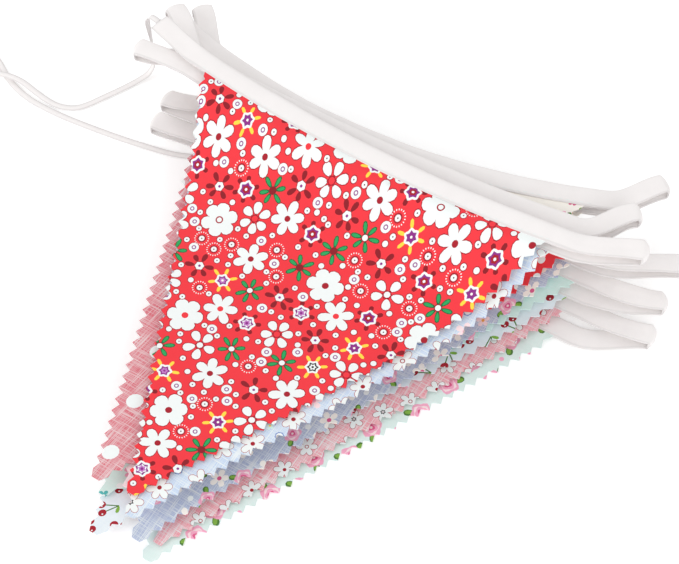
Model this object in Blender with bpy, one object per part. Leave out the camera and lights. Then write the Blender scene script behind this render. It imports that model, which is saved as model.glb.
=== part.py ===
# Cloth bunting folded up into a stack: twelve pinked triangular flags, one folded tape that
# runs back and forth over all their headings, and a thin tie at each end of the tape.
# Lengths in this file are in millimetres and become metres when the meshes are made.
# Frame: +X along the headings, -Y towards the flag points, +Z up, resting on z = 0.
import math

import bmesh
import bpy
import numpy as np
from mathutils import Matrix, Vector
from mathutils.geometry import delaunay_2d_cdt

MM = 0.001

# Flag cloth
FLAG_WIDTH = 183.0
FLAG_HEIGHT = 184.0
CLOTH = 1.0
TOOTH_COUNT = 35
TOOTH_DEPTH = 2.75
HEADING_DEPTH = 8.5
EDGE_INSET = 2.0

# Tape: a ribbon folded lengthwise over the headings
TAPE_WIDTH = 10.0
TAPE_WALL = 1.0
SLOT_HALF = 0.82
CLOSED_HALF = 0.2
RUN_HALF_LENGTH = 96.0
TAPER = 6.0
BOWED_PIECES = 8

# Clearances between layers
GAP = 0.3
FIELD_SLACK = 0.26
FALL_SLACK = 0.3
FALL_SLOPE = 0.95
HEADING_RISE = 0.022
LEAST_RISE = 3.3
OVERHANG = 30.0

# Ties
TIE_WIDTH = 3.2
TIE_THICK = 1.0

# Grid on which the layers are laid over each other
STEP_X = 6.0
STEP_Y = 5.0
X_LOW, X_HIGH = -120.0, 132.0
Y_LOW, Y_HIGH = -216.0, 44.0
SMOOTHING = 12

# Flags from the top of the stack to the bottom. middle_x: middle of the heading; left_y and
# right_y: lower edge of the tape at the heading's ends, bow: how far its middle stands behind
# the line between them; tip_x, tip_y: the point; puff: spare height under this heading;
# phase: where the pinking starts.
FLAG_COLUMNS = ("name", "middle_x", "left_y", "right_y", "bow", "tip_x", "tip_y", "puff", "phase",
                "colour")
FLAGS = (
    ("flag_01", 1.5, 0.0, 0.0, -6.0, 0.0, -184.0, 0.2, 0.10, (0.80, 0.05, 0.05)),
    ("flag_02", 4.5, -5.0, -1.0, -5.5, 5.0, -192.0, 0.1, 0.55, (0.62, 0.74, 0.84)),
    ("flag_03", 0.0, 4.0, 14.0, -4.0, -18.0, -185.0, 0.0, 0.30, (0.78, 0.36, 0.42)),
    ("flag_04", 3.0, 4.0, 14.0, -4.0, -5.0, -181.0, 0.0, 0.80, (0.86, 0.80, 0.80)),
    ("flag_05", 2.0, 16.0, 38.0, -13.0, 0.0, -168.0, 0.0, 0.45, (0.90, 0.85, 0.76)),
    ("flag_06", 2.0, 15.0, 37.0, -13.0, 4.0, -169.0, 0.0, 0.15, (0.86, 0.88, 0.90)),
    ("flag_07", 6.0, 6.0, 16.0, 0.0, -3.0, -181.0, 0.0, 0.65, (0.72, 0.06, 0.07)),
    ("flag_08", 9.0, -3.0, 15.0, 0.0, 10.0, -196.0, 0.0, 0.35, (0.90, 0.70, 0.72)),
    ("flag_09", 14.0, -7.0, 10.0, 0.0, -15.0, -186.0, 0.0, 0.85, (0.72, 0.87, 0.82)),
    ("flag_10", 14.0, -14.0, 4.0, 0.0, -8.0, -202.0, 0.0, 0.20, (0.90, 0.91, 0.93)),
    ("flag_11", 15.0, -14.0, -1.0, 0.0, 17.0, -191.0, 0.0, 0.70, (0.78, 0.38, 0.44)),
    ("flag_12", 17.0, -18.0, -12.0, 0.0, 17.0, -199.0, 0.0, 0.40, (0.82, 0.91, 0.90)),
)

# Turns of the tape between two headings. upper: the flag the turn leaves, counted from the
# top; end_x, end_y: where the turn bends back; yaw: direction outwards there in degrees;
# lift: height of the bend over the middle of its two headings; radius: of the bend.
TURN_COLUMNS = ("upper", "end_x", "end_y", "yaw", "lift", "radius")
TURNS = (
    (1, 131.0, 19.0, 24.0, 0.6, 2.6),
    (2, -127.0, -2.0, 190.0, 0.0, 2.4),
    (3, 116.7, 42.4, 38.0, 0.0, 2.4),
    (4, -130.5, 33.0, 156.0, 0.0, 2.3),
    (5, 117.2, 69.0, 48.0, 0.0, 2.4),
    (6, -124.0, 46.0, 144.0, 0.0, 2.3),
    (7, 146.3, 41.8, 26.0, 0.0, 2.3),
    (8, -110.5, -5.0, 184.0, 0.0, 2.3),
    (9, 143.1, 23.8, 28.0, 0.0, 2.2),
    (10, -111.5, -14.0, 188.0, 0.0, 2.3),
    (11, 145.6, 9.7, 20.0, 0.5, 2.4),
)

# The tape's free end past the top flag's left corner.
LEAD = {"end_x": -123.6, "end_y": 13.6, "yaw": 166.0, "drop": 0.8}

# Ties: centre line points x, y, z, then the direction across the ribbon in degrees.
TIES = {
    "tie_upper": (
        (-124.1, 13.73, 45.0, 76.0),
        (-129.6, 14.9, 43.8, 78.0),
        (-132.4, 15.4, 38.4, 84.0),
        (-131.9, 15.6, 29.0, 104.0),
        (-131.2, 15.8, 17.0, 132.0),
        (-131.2, 14.6, 8.0, 150.0),
        (-132.6, 11.8, 3.0, 154.0),
        (-134.8, 7.4, 1.3, 155.0),
        (-137.5, 1.3, 0.9, 155.0),
        (-142.2, -8.6, 0.9, 156.0),
        (-147.8, -19.6, 0.9, 140.0),
        (-152.3, -24.2, 0.9, 126.0),
        (-158.5, -26.7, 0.9, 104.0),
        (-165.4, -27.0, 1.1, 89.0),
        (-173.1, -26.3, 1.8, 85.0),
        (-180.6, -25.6, 2.9, 88.0),
        (-188.2, -26.2, 3.3, 100.0),
        (-196.0, -28.6, 3.0, 110.0),
        (-205.0, -32.5, 1.6, 114.0),
        (-217.0, -38.0, 0.9, 116.0),
    ),
    "tie_lower": (
        (-79.64, -13.2, 1.82, 92.0),
        (-86.5, -17.0, 1.4, 114.0),
        (-94.3, -20.3, 1.1, 110.0),
        (-101.8, -22.3, 0.9, 105.0),
        (-118.1, -25.7, 0.8, 101.0),
        (-135.4, -28.5, 0.8, 98.0),
        (-153.4, -30.7, 0.8, 94.0),
        (-167.6, -31.2, 0.8, 87.0),
        (-175.7, -30.5, 0.8, 80.0),
        (-184.1, -28.4, 0.8, 71.0),
        (-191.2, -25.4, 0.8, 64.0),
        (-199.0, -21.0, 0.8, 62.0),
        (-208.0, -17.0, 0.8, 68.0),
        (-221.0, -13.0, 0.8, 75.0),
    ),
}

TAPE_HALF_THICK = SLOT_HALF + TAPE_WALL
WHITE = (0.90, 0.90, 0.89)


def named(columns, rows):
    """Rows as dictionaries keyed by the column names."""
    return [dict(zip(columns, row)) for row in rows]


def heading_y(flag, x):
    """Lower edge of a flag's tape at x."""
    share = (x - flag["middle_x"]) / FLAG_WIDTH + 0.5
    arch = flag["bow"] * 4.0 * share * (1.0 - share)
    return flag["left_y"] + (flag["right_y"] - flag["left_y"]) * share + arch


def flag_plan(flag, across, down):
    """Plan position of a point of the flat flag, across the heading and down from it."""
    share = down / FLAG_HEIGHT
    top_x = flag["middle_x"] + across
    top_y = heading_y(flag, top_x)
    if down <= 0.0:
        return top_x, top_y - down
    x = top_x * (1.0 - share) + (flag["tip_x"] + across) * share
    y = top_y * (1.0 - share) + flag["tip_y"] * share
    return x, y


def flag_outline(flag):
    """Pinked outline of the flat flag as (across, down) points, anticlockwise in plan."""
    half = FLAG_WIDTH / 2.0
    length = math.hypot(half, FLAG_HEIGHT)
    side = []
    pitch = length / TOOTH_COUNT
    for index in range(TOOTH_COUNT):
        for kind, offset in (("outer", 0.25), ("valley", 0.75)):
            along = (index + offset + 0.4 * flag["phase"]) * pitch
            share = along / length
            if share > 0.985:
                continue
            width = half * (1.0 - share)
            depth = min(TOOTH_DEPTH, 0.42 * width)
            across = width
            down = FLAG_HEIGHT * share
            if kind == "valley":
                across -= depth * FLAG_HEIGHT / length
                down -= depth * half / length
            side.append((across, down))
    side = [point for point in side if point[1] > 2.6]
    corner = half - EDGE_INSET
    grow = half * HEADING_DEPTH / FLAG_HEIGHT
    right = [(corner + grow, -HEADING_DEPTH), (corner, 0.0), (corner - 0.8, 2.0)] + side
    left = [(-across, down) for across, down in right]
    top = []
    if flag["bow"]:
        inner = range(BOWED_PIECES - 1, 0, -1)
        top = [(RUN_HALF_LENGTH * (2.0 * index / BOWED_PIECES - 1.0), -HEADING_DEPTH) for index in inner]
    return [(0.0, FLAG_HEIGHT)] + right[::-1] + top + left


def unevenness(level, grid_x, grid_y):
    """Spare height between this layer and the one below, uneven across the cloth."""
    wave = np.sin(grid_x / (21.0 + 2.0 * (level % 4)) + 1.7 * level)
    wave = wave * np.cos(grid_y / (27.0 - 2.0 * (level % 3)) + 0.9 * level)
    return 0.11 * (1.0 + wave)


def lay_layers(flags):
    """Heights of the tape runs and of the middle surface of every flag, lowest first."""
    xs = np.arange(X_LOW, X_HIGH + 0.1, STEP_X)
    ys = np.arange(Y_LOW, Y_HIGH + 0.1, STEP_Y)
    grid_x, grid_y = np.meshgrid(xs, ys, indexing="ij")
    laid = []
    for level in range(len(flags)):
        flag = flags[len(flags) - 1 - level]
        rise = HEADING_RISE * level / (len(flags) - 1)
        edge = heading_y(flag, grid_x)
        in_run = (grid_y > edge - 3.0) & (grid_y < edge + TAPE_WIDTH + 3.0)
        run_need = np.full(grid_x.shape, TAPE_HALF_THICK)
        cloth_need = np.full(grid_x.shape, CLOTH / 2.0)
        for below in laid:
            over_tape = below["height"] + TAPE_HALF_THICK
            near = dilated_run(below["flag"], grid_x, grid_y)
            cloth_top = below["z"] + below["half"]
            on_cloth = dilated_cloth(below["flag"], grid_x, grid_y)
            slack = FIELD_SLACK + FALL_SLACK * np.clip((grid_y + 70.0) / 50.0, 0.0, 1.0)
            beside = np.abs(edge - heading_y(below["flag"], grid_x)) < TAPE_WIDTH + 1.0
            run_need = np.where(
                beside, np.maximum(run_need, over_tape + GAP + TAPE_HALF_THICK), run_need)
            run_need = np.where(
                on_cloth, np.maximum(run_need, cloth_top + GAP + TAPE_HALF_THICK), run_need)
            cloth_need = np.where(
                near, np.maximum(cloth_need, over_tape + 2.0 * GAP + CLOTH / 2.0), cloth_need)
            cloth_need = np.where(
                on_cloth,
                np.maximum(cloth_need, cloth_top + GAP + slack + CLOTH / 2.0),
                cloth_need)
        base = float(np.max((run_need - rise * grid_x)[in_run])) + flag["puff"]
        if level == 0:
            base = TAPE_HALF_THICK
        else:
            base = max(base, laid[-1]["base"] + LEAST_RISE)
        height = base + rise * grid_x
        down = edge - grid_y
        fall = height - FALL_SLOPE * np.maximum(down - 2.0, 0.0)
        need = cloth_need
        if level:
            need = need + unevenness(level, grid_x, grid_y) * np.clip((down - 20.0) / 25.0, 0.0, 1.0)
        floor = np.maximum(need, fall)
        floor = np.minimum(floor, np.maximum(height, need))
        fixed = down < 2.0
        surface = np.where(fixed, height, floor)
        for _ in range(SMOOTHING):
            padded = np.pad(surface, 1, mode="edge")
            mean = (padded[:-2, 1:-1] + padded[2:, 1:-1] + padded[1:-1, :-2] + padded[1:-1, 2:]) / 4.0
            if level == 0:
                mean = surface
            surface = np.where(fixed, height, np.maximum(floor, mean))
        slope_x = np.gradient(surface, xs, axis=0)
        slope_y = np.gradient(surface, ys, axis=1)
        half = CLOTH / 2.0 * np.sqrt(1.0 + slope_x ** 2 + slope_y ** 2)
        laid.append({
            "flag": flag, "base": base, "rise": rise, "height": height,
            "z": surface, "half": half, "xs": xs, "ys": ys,
        })
    return laid


def dilated_run(flag, grid_x, grid_y):
    """Where the tape run of a flag lies, with a margin of one grid step."""
    edge = heading_y(flag, grid_x)
    inside_y = (grid_y > edge - STEP_Y - 1.2) & (grid_y < edge + TAPE_WIDTH + STEP_Y + 1.0)
    inside_x = np.abs(grid_x - flag["middle_x"]) < RUN_HALF_LENGTH + STEP_X + 2.0
    return inside_y & inside_x


def dilated_cloth(flag, grid_x, grid_y):
    """Where the cloth of a flag lies below its tape, with a margin round it."""
    down = heading_y(flag, grid_x) - grid_y
    share = np.clip(down / (heading_y(flag, grid_x) - flag["tip_y"]), 0.0, 1.0)
    centre = flag["middle_x"] * (1.0 - share) + flag["tip_x"] * share
    width = FLAG_WIDTH / 2.0 * (1.0 - share) + OVERHANG
    return (down > -1.0) & (grid_y > flag["tip_y"] - OVERHANG) & (np.abs(grid_x - centre) < width)


def sample(layer, key, x, y):
    """Value of one of a layer's grids at a plan position, by bilinear interpolation."""
    column = (x - layer["xs"][0]) / STEP_X
    row = (y - layer["ys"][0]) / STEP_Y
    i = int(min(max(math.floor(column), 0), len(layer["xs"]) - 2))
    j = int(min(max(math.floor(row), 0), len(layer["ys"]) - 2))
    u = min(max(column - i, 0.0), 1.0)
    v = min(max(row - j, 0.0), 1.0)
    grid = layer[key]
    low = grid[i, j] * (1.0 - u) + grid[i + 1, j] * u
    high = grid[i, j + 1] * (1.0 - u) + grid[i + 1, j + 1] * u
    return float(low * (1.0 - v) + high * v)


def run_height(layer, x):
    """Height of a flag's heading and tape at x."""
    return layer["base"] + layer["rise"] * x


def common_points():
    """Plan points shared by all the flags, in staggered rows, closer near the headings."""
    points = []
    rows = []
    y = 20.0
    while y > -205.0:
        rows.append(y)
        y -= 8.0 if y > -46.0 else 13.0
    for index, row_y in enumerate(rows):
        shift = 7.0 if index % 2 else 0.0
        x = -112.0 + shift
        while x < 120.0:
            points.append((x, row_y))
            x += 14.0
    return points


def flag_mesh(layer, shared):
    """Closed sheet of one flag: both faces and the pinked edge."""
    flag = layer["flag"]
    outline = flag_outline(flag)
    plan = [flag_plan(flag, across, down) for across, down in outline]
    downs = [down for _, down in outline]
    count = len(plan)
    points = [Vector(point) for point in plan]
    edges = [(index, (index + 1) % count) for index in range(count)]
    crease = sorted((outline[index][0], index) for index in range(count) if outline[index][1] == 2.0)
    steps = 12
    line = [crease[0][1]]
    for index in range(1, steps):
        across = crease[0][0] + (crease[-1][0] - crease[0][0]) * index / steps
        points.append(Vector(flag_plan(flag, across, 2.0)))
        downs.append(2.0)
        line.append(len(points) - 1)
    line.append(crease[-1][1])
    edges += list(zip(line[:-1], line[1:]))
    for x, y in shared:
        down = heading_y(flag, x) - y
        if down < 7.0 or y < flag["tip_y"] + 6.0:
            continue
        share = down / (heading_y(flag, x) - flag["tip_y"])
        centre = flag["middle_x"] * (1.0 - share) + flag["tip_x"] * share
        if abs(x - centre) > FLAG_WIDTH / 2.0 * (1.0 - share) - 5.0:
            continue
        points.append(Vector((x, y)))
        downs.append(down)
    result = delaunay_2d_cdt(points, edges, [list(range(count))], 1, 1e-5)
    verts, _, faces, origin = result[0], result[1], result[2], result[3]
    heights = []
    halves = []
    for index, vert in enumerate(verts):
        source = origin[index][0] if origin[index] else None
        in_tape = source is not None and downs[source] <= 2.0 + 1e-6
        if in_tape:
            heights.append(run_height(layer, vert.x))
            halves.append(CLOTH / 2.0)
        else:
            heights.append(sample(layer, "z", vert.x, vert.y))
            halves.append(sample(layer, "half", vert.x, vert.y))
    mesh = bmesh.new()
    top = []
    bottom = []
    for vert, height, half in zip(verts, heights, halves):
        top.append(mesh.verts.new((vert.x * MM, vert.y * MM, (height + half) * MM)))
        bottom.append(mesh.verts.new((vert.x * MM, vert.y * MM, max(height - half, 0.0) * MM)))
    used = {}
    for face in faces:
        a, b, c = face
        cross = (verts[b] - verts[a]).cross(verts[c] - verts[a])
        if cross < 0.0:
            a, b, c = a, c, b
        mesh.faces.new((top[a], top[b], top[c]))
        mesh.faces.new((bottom[a], bottom[c], bottom[b]))
        for start, end in ((a, b), (b, c), (c, a)):
            used[(start, end)] = True
    for start, end in list(used):
        if (end, start) not in used:
            mesh.faces.new((bottom[start], bottom[end], top[end]))
            mesh.faces.new((bottom[start], top[end], top[start]))
    return mesh


def tape_section(half):
    """Outline of the folded tape, open towards the flag: (towards the fold, up) points."""
    edge = TAPE_WIDTH / 2.0
    outer = half + TAPE_WALL
    inner = edge - TAPE_WALL
    return ((-edge, -outer), (edge, -outer), (edge, outer), (-edge, outer),
            (-edge, half), (inner, half), (inner, -half), (-edge, -half))


def run_point(layer, x):
    """Centre of a tape run at x, and the direction of the run there in radians."""
    flag = layer["flag"]
    slope = (heading_y(flag, x + 1.0) - heading_y(flag, x - 1.0)) / 2.0
    y = heading_y(flag, x) + TAPE_WIDTH / 2.0 * math.sqrt(1.0 + slope * slope)
    return Vector((x, y, run_height(layer, x))), math.atan(slope)


def run_end(layer, side):
    """Centre of a tape run at its left (-1) or right (+1) end, and its outward direction."""
    centre, yaw = run_point(layer, layer["flag"]["middle_x"] + side * RUN_HALF_LENGTH)
    return centre, yaw if side > 0 else yaw + math.pi


def leg(start, start_yaw, end, yaw, end_height, steps):
    """Stations from a run's end out to a bend: position, outward yaw and slot half height."""
    direction = Vector((math.cos(math.radians(yaw)), math.sin(math.radians(yaw))))
    flat_start = Vector((start.x, start.y))
    flat_end = Vector((end[0], end[1]))
    reach = (flat_end - flat_start).length
    tangent_a = Vector((math.cos(start_yaw), math.sin(start_yaw))) * reach
    tangent_b = direction * reach
    stations = []
    for index in range(1, steps + 1):
        s = index / steps
        h00 = 2 * s ** 3 - 3 * s ** 2 + 1
        h10 = s ** 3 - 2 * s ** 2 + s
        h01 = -2 * s ** 3 + 3 * s ** 2
        h11 = s ** 3 - s ** 2
        flat = flat_start * h00 + tangent_a * h10 + flat_end * h01 + tangent_b * h11
        d00 = 6 * s ** 2 - 6 * s
        d10 = 3 * s ** 2 - 4 * s + 1
        d01 = -6 * s ** 2 + 6 * s
        d11 = 3 * s ** 2 - 2 * s
        slope = flat_start * d00 + tangent_a * d10 + flat_end * d01 + tangent_b * d11
        heading = math.atan2(slope.y, slope.x)
        blend = s * s * (3.0 - 2.0 * s)
        height = start.z * (1.0 - blend) + end_height * blend
        closing = min(1.0, s * reach / TAPER)
        half = SLOT_HALF + (CLOSED_HALF - SLOT_HALF) * closing
        stations.append((Vector((flat.x, flat.y, height)), heading, half))
    return stations


def width_vector(heading, side):
    """Horizontal direction across the tape, always towards its fold."""
    if side > 0:
        return Vector((-math.sin(heading), math.cos(heading), 0.0))
    return Vector((math.sin(heading), -math.cos(heading), 0.0))


def tape_stations(layers):
    """All stations of the tape from its free end to its last end: centre, across, slot."""
    top_down = list(reversed(layers))
    stations = []
    first, first_yaw = run_end(top_down[0], -1)
    lead_end = (LEAD["end_x"], LEAD["end_y"])
    lead = leg(first, first_yaw, lead_end, LEAD["yaw"], first.z - LEAD["drop"], 7)
    for centre, heading, half in reversed(lead):
        stations.append((centre, width_vector(heading, -1), half))
    turns = {turn["upper"]: turn for turn in named(TURN_COLUMNS, TURNS)}
    side = 1
    for index, layer in enumerate(top_down):
        pieces = BOWED_PIECES if layer["flag"]["bow"] else 2
        for step in range(pieces + 1):
            share = 2.0 * step / pieces - 1.0
            x = layer["flag"]["middle_x"] + side * share * RUN_HALF_LENGTH
            centre, yaw = run_point(layer, x)
            stations.append((centre, width_vector(yaw, 1), SLOT_HALF))
        turn = turns.get(index + 1)
        if turn is None:
            break
        end, end_yaw = run_end(layer, side)
        following, following_yaw = run_end(top_down[index + 1], side)
        middle = (end.z + following.z) / 2.0 + turn["lift"]
        radius = turn["radius"]
        yaw = math.radians(turn["yaw"])
        direction = Vector((math.cos(yaw), math.sin(yaw), 0.0))
        centre = Vector((turn["end_x"], turn["end_y"], middle)) - direction * radius
        bend = (centre.x, centre.y)
        out = leg(end, end_yaw, bend, turn["yaw"], middle + radius, 8)
        back = leg(following, following_yaw, bend, turn["yaw"], middle - radius, 8)
        for point, heading, half in out:
            stations.append((point, width_vector(heading, side), half))
        for step in range(1, 6):
            angle = math.pi * step / 6
            point = centre + direction * (radius * math.sin(angle)) \
                + Vector((0.0, 0.0, radius * math.cos(angle)))
            stations.append((point, width_vector(yaw, side), CLOSED_HALF))
        for point, heading, half in reversed(back):
            stations.append((point, width_vector(heading, side), half))
        side = -side
    return stations


def sweep(sections, caps):
    """Closed mesh through a list of point loops, with faces for the two end caps."""
    mesh = bmesh.new()
    rings = []
    for section in sections:
        rings.append([mesh.verts.new(point * MM) for point in section])
    size = len(rings[0])
    for ring, following in zip(rings[:-1], rings[1:]):
        for index in range(size):
            after = (index + 1) % size
            mesh.faces.new((ring[index], ring[after], following[after]))
            mesh.faces.new((ring[index], following[after], following[index]))
    for cap in caps:
        mesh.faces.new([rings[0][index] for index in reversed(cap)])
        mesh.faces.new([rings[-1][index] for index in cap])
    return mesh


def tape_mesh(layers):
    """The whole tape as one closed solid."""
    stations = tape_stations(layers)
    sections = []
    last = len(stations) - 1
    for index, (centre, across, half) in enumerate(stations):
        before = stations[max(index - 1, 0)][0]
        after = stations[min(index + 1, last)][0]
        tangent = (after - before).normalized()
        straight = across - tangent * across.dot(tangent)
        straight.normalize()
        normal = tangent.cross(straight)
        normal.normalize()
        sections.append([centre + straight * a + normal * b for a, b in tape_section(half)])
    caps = ((0, 1, 6), (0, 6, 7), (1, 2, 5), (1, 5, 6), (2, 3, 4), (2, 4, 5))
    return sweep(sections, caps)


def tie_mesh(rows):
    """One flat ribbon along a smooth line through the given points."""
    points = [Vector(row) for row in rows]
    line = []
    for index in range(len(points) - 1):
        before = points[max(index - 1, 0)]
        start = points[index]
        end = points[index + 1]
        after = points[min(index + 2, len(points) - 1)]
        for step in range(2):
            s = step / 2.0
            line.append(0.5 * (2.0 * start + (end - before) * s
                               + (2.0 * before - 5.0 * start + 4.0 * end - after) * s ** 2
                               + (3.0 * start - before - 3.0 * end + after) * s ** 3))
    line.append(points[-1])
    sections = []
    for index, point in enumerate(line):
        before = line[max(index - 1, 0)].xyz
        after = line[min(index + 1, len(line) - 1)].xyz
        tangent = (after - before).normalized()
        yaw = math.radians(point.w)
        across = Vector((math.cos(yaw), math.sin(yaw), 0.0))
        across = (across - tangent * across.dot(tangent)).normalized()
        thin = tangent.cross(across)
        w = TIE_WIDTH / 2.0
        t = TIE_THICK / 2.0
        corners = ((-w, -t), (w, -t), (w, t), (-w, t))
        sections.append([point.xyz + across * a + thin * b for a, b in corners])
    return sweep(sections, ((0, 1, 2), (0, 2, 3)))


def add_object(name, mesh, colour, roughness):
    """Named object with its own material from a finished mesh."""
    bmesh.ops.recalc_face_normals(mesh, faces=list(mesh.faces))
    data = bpy.data.meshes.new(name)
    mesh.to_mesh(data)
    mesh.free()
    material = bpy.data.materials.new(name + "_cloth")
    material.use_nodes = True
    shader = material.node_tree.nodes["Principled BSDF"]
    shader.inputs["Base Color"].default_value = (*colour, 1.0)
    shader.inputs["Roughness"].default_value = roughness
    data.materials.append(material)
    thing = bpy.data.objects.new(name, data)
    bpy.context.scene.collection.objects.link(thing)
    return thing


def main():
    for thing in list(bpy.data.objects):
        bpy.data.objects.remove(thing, do_unlink=True)
    flags = named(FLAG_COLUMNS, FLAGS)
    layers = lay_layers(flags)
    shared = common_points()
    stack = []
    for layer in reversed(layers):
        flag = layer["flag"]
        stack.append(add_object(flag["name"], flag_mesh(layer, shared), flag["colour"], 0.85))
    stack.append(add_object("tape", tape_mesh(layers), WHITE, 0.7))
    corners = [vertex.co for thing in stack for vertex in thing.data.vertices]
    middle_x = (min(c.x for c in corners) + max(c.x for c in corners)) / 2.0
    middle_y = (min(c.y for c in corners) + max(c.y for c in corners)) / 2.0
    lowest = min(c.z for c in corners)
    ties = [add_object(name, tie_mesh(rows), WHITE, 0.6) for name, rows in TIES.items()]
    shift = Vector((-middle_x, -middle_y, -lowest))
    for thing in stack + ties:
        thing.data.transform(Matrix.Translation(shift))


main()
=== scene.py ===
"""Looks of a folded bunting: printed cotton flags on a folded tape, with a thin tie at each end.

Plan lengths are in millimetres and become metres when a mesh is made.
"""
import logging
import math
from dataclasses import dataclass, field
from enum import Enum

import bpy
import numpy as np
from mathutils import Matrix, Vector
from mathutils.geometry import delaunay_2d_cdt


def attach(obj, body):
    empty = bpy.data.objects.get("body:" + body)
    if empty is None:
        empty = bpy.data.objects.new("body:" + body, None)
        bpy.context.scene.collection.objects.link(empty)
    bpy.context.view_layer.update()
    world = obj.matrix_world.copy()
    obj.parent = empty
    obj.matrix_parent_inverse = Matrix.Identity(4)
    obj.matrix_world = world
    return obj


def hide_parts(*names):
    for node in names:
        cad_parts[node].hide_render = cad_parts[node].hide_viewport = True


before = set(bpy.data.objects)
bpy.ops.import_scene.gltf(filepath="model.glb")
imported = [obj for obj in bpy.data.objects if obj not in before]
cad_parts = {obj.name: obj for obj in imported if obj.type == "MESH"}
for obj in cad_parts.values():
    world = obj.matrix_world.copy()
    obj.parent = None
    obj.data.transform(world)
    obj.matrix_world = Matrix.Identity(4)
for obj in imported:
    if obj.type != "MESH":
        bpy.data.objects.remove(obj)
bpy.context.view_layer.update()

LOG = logging.getLogger("bunting")

MM = 0.001
SHIFT = np.array([-7.9702, 64.3813, 0.0])
BODY = "root"
FLAG_WIDTH = 183.0
FLAG_HEIGHT = 184.0
HEADING_DEPTH = 8.5
TAPE_WIDTH = 10.0
RUN_HALF_LENGTH = 96.0


class Ink(Enum):
    """Colours of the cloths and of their prints, as seen on the screen."""

    RED = "ed3942"
    DEEP_RED = "a51d2c"
    MAROON = "8a1c26"
    WHITE = "ecf1f0"
    GREEN = "2ba35b"
    DARK_GREEN = "1d5a3c"
    YELLOW = "ffd84a"
    PURPLE = "8b2f86"
    BLACK = "2b2226"
    MAUVE = "c07ac4"
    PALE_BLUE = "c0d2ea"
    BLUE = "7d93c8"
    STEEL = "adb9d6"
    ROSE_GROUND = "d46c79"
    PINK_GROUND = "ee98a4"
    PINK = "f2a9c4"
    HOT_PINK = "e0608f"
    BLUSH = "f9dfe2"
    CREAM = "fbf6ee"
    ORANGE = "f2a24c"
    TEAL = "54b6b4"
    MINT = "d3f2ea"
    PALE_MINT = "dcefea"
    SNOW = "e2ecf3"
    LEAF = "7fae45"
    DARK_LEAF = "4d7a35"
    TAPE = "f1edec"

    def linear(self) -> tuple[float, float, float]:
        """Colour for a shader, in linear light."""
        text = self.value
        parts = [int(text[index:index + 2], 16) / 255.0 for index in (0, 2, 4)]
        return tuple(c / 12.92 if c <= 0.04045 else ((c + 0.055) / 1.055) ** 2.4 for c in parts)


class Motif(Enum):
    """Ordinary print motifs, each drawn by a method of MotifBook."""

    BROAD_DAISY = "broad_daisy"
    DAISY = "daisy"
    OPEN_DAISY = "open_daisy"
    SPIDER = "spider"
    RAYS = "rays"
    BURR = "burr"
    STARBURST = "starburst"
    BEADED_RING = "beaded_ring"
    RINGED_DOT = "ringed_dot"
    EYE_DOT = "eye_dot"
    DOT = "dot"
    BLOSSOM = "blossom"
    BLUE_RING = "blue_ring"
    ROSE = "rose"
    CHERRY = "cherry"
    STAR = "star"
    HEART = "heart"


@dataclass(frozen=True)
class Sprig:
    """One kind of motif in a print.

    radius is in millimetres, share is how often it comes in its size group, and ink is its
    main colour where the motif has a choice.
    """

    motif: Motif
    radius: float
    share: int = 1
    ink: Ink = Ink.WHITE
    accent: Ink = Ink.DEEP_RED
    outline: float = 0.0


@dataclass(frozen=True)
class PrintedCotton:
    """A printed cotton: its ground, its crossed yarns and the motifs scattered on it.

    Where rows is given, the first motif stands in even rows instead: rows holds their spacing
    and the place of one motif, across and down.
    """

    name: str
    ground: Ink
    hatch: float = 0.0
    hatch_ink: Ink = Ink.WHITE
    sprigs: tuple[Sprig, ...] = ()
    gap: float = 1.0
    limit: int = 400
    rows: tuple[float, ...] = ()
    seed: int = 1
    print_end: float = 166.0
    roughness: float = 0.88

    def material(self) -> bpy.types.Material:
        """Cotton whose colour comes from the print, with crossed yarns and a fine weave.

        Returns:
            The node material.
        """
        made = Nodes(self.name)
        print_layer = made.add("ShaderNodeVertexColor")
        print_layer.layer_name = "print"
        uv = made.add("ShaderNodeUVMap")
        uv.uv_map = "cut"
        across = made.streaks(uv, (2300.0, 70.0, 1.0))
        down = made.streaks(uv, (70.0, 2300.0, 1.0))
        yarns = made.math("MAXIMUM", across, down)
        masked = made.math("MULTIPLY", yarns, print_layer.outputs["Alpha"])
        strength = made.math("MULTIPLY", masked, self.hatch)
        hatched = made.mix("MIX", strength, print_layer.outputs["Color"], (*self.hatch_ink.linear(), 1.0))
        mottle = made.noise(uv, 45.0, 3.0, 0.6)
        shade = made.math("MULTIPLY_ADD", mottle, 0.10, 0.95)
        tinted = made.mix("MULTIPLY", 1.0, hatched, shade)
        weave = made.weave(uv, 2200.0)
        made.bump(weave, 0.22, 0.00012)
        made.link(tinted, made.shader.inputs["Base Color"])
        made.set("Roughness", self.roughness)
        made.set("Sheen Weight", 0.08)
        made.set("Sheen Roughness", 0.6)
        made.set("Specular IOR Level", 0.22)
        return made.material


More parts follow.
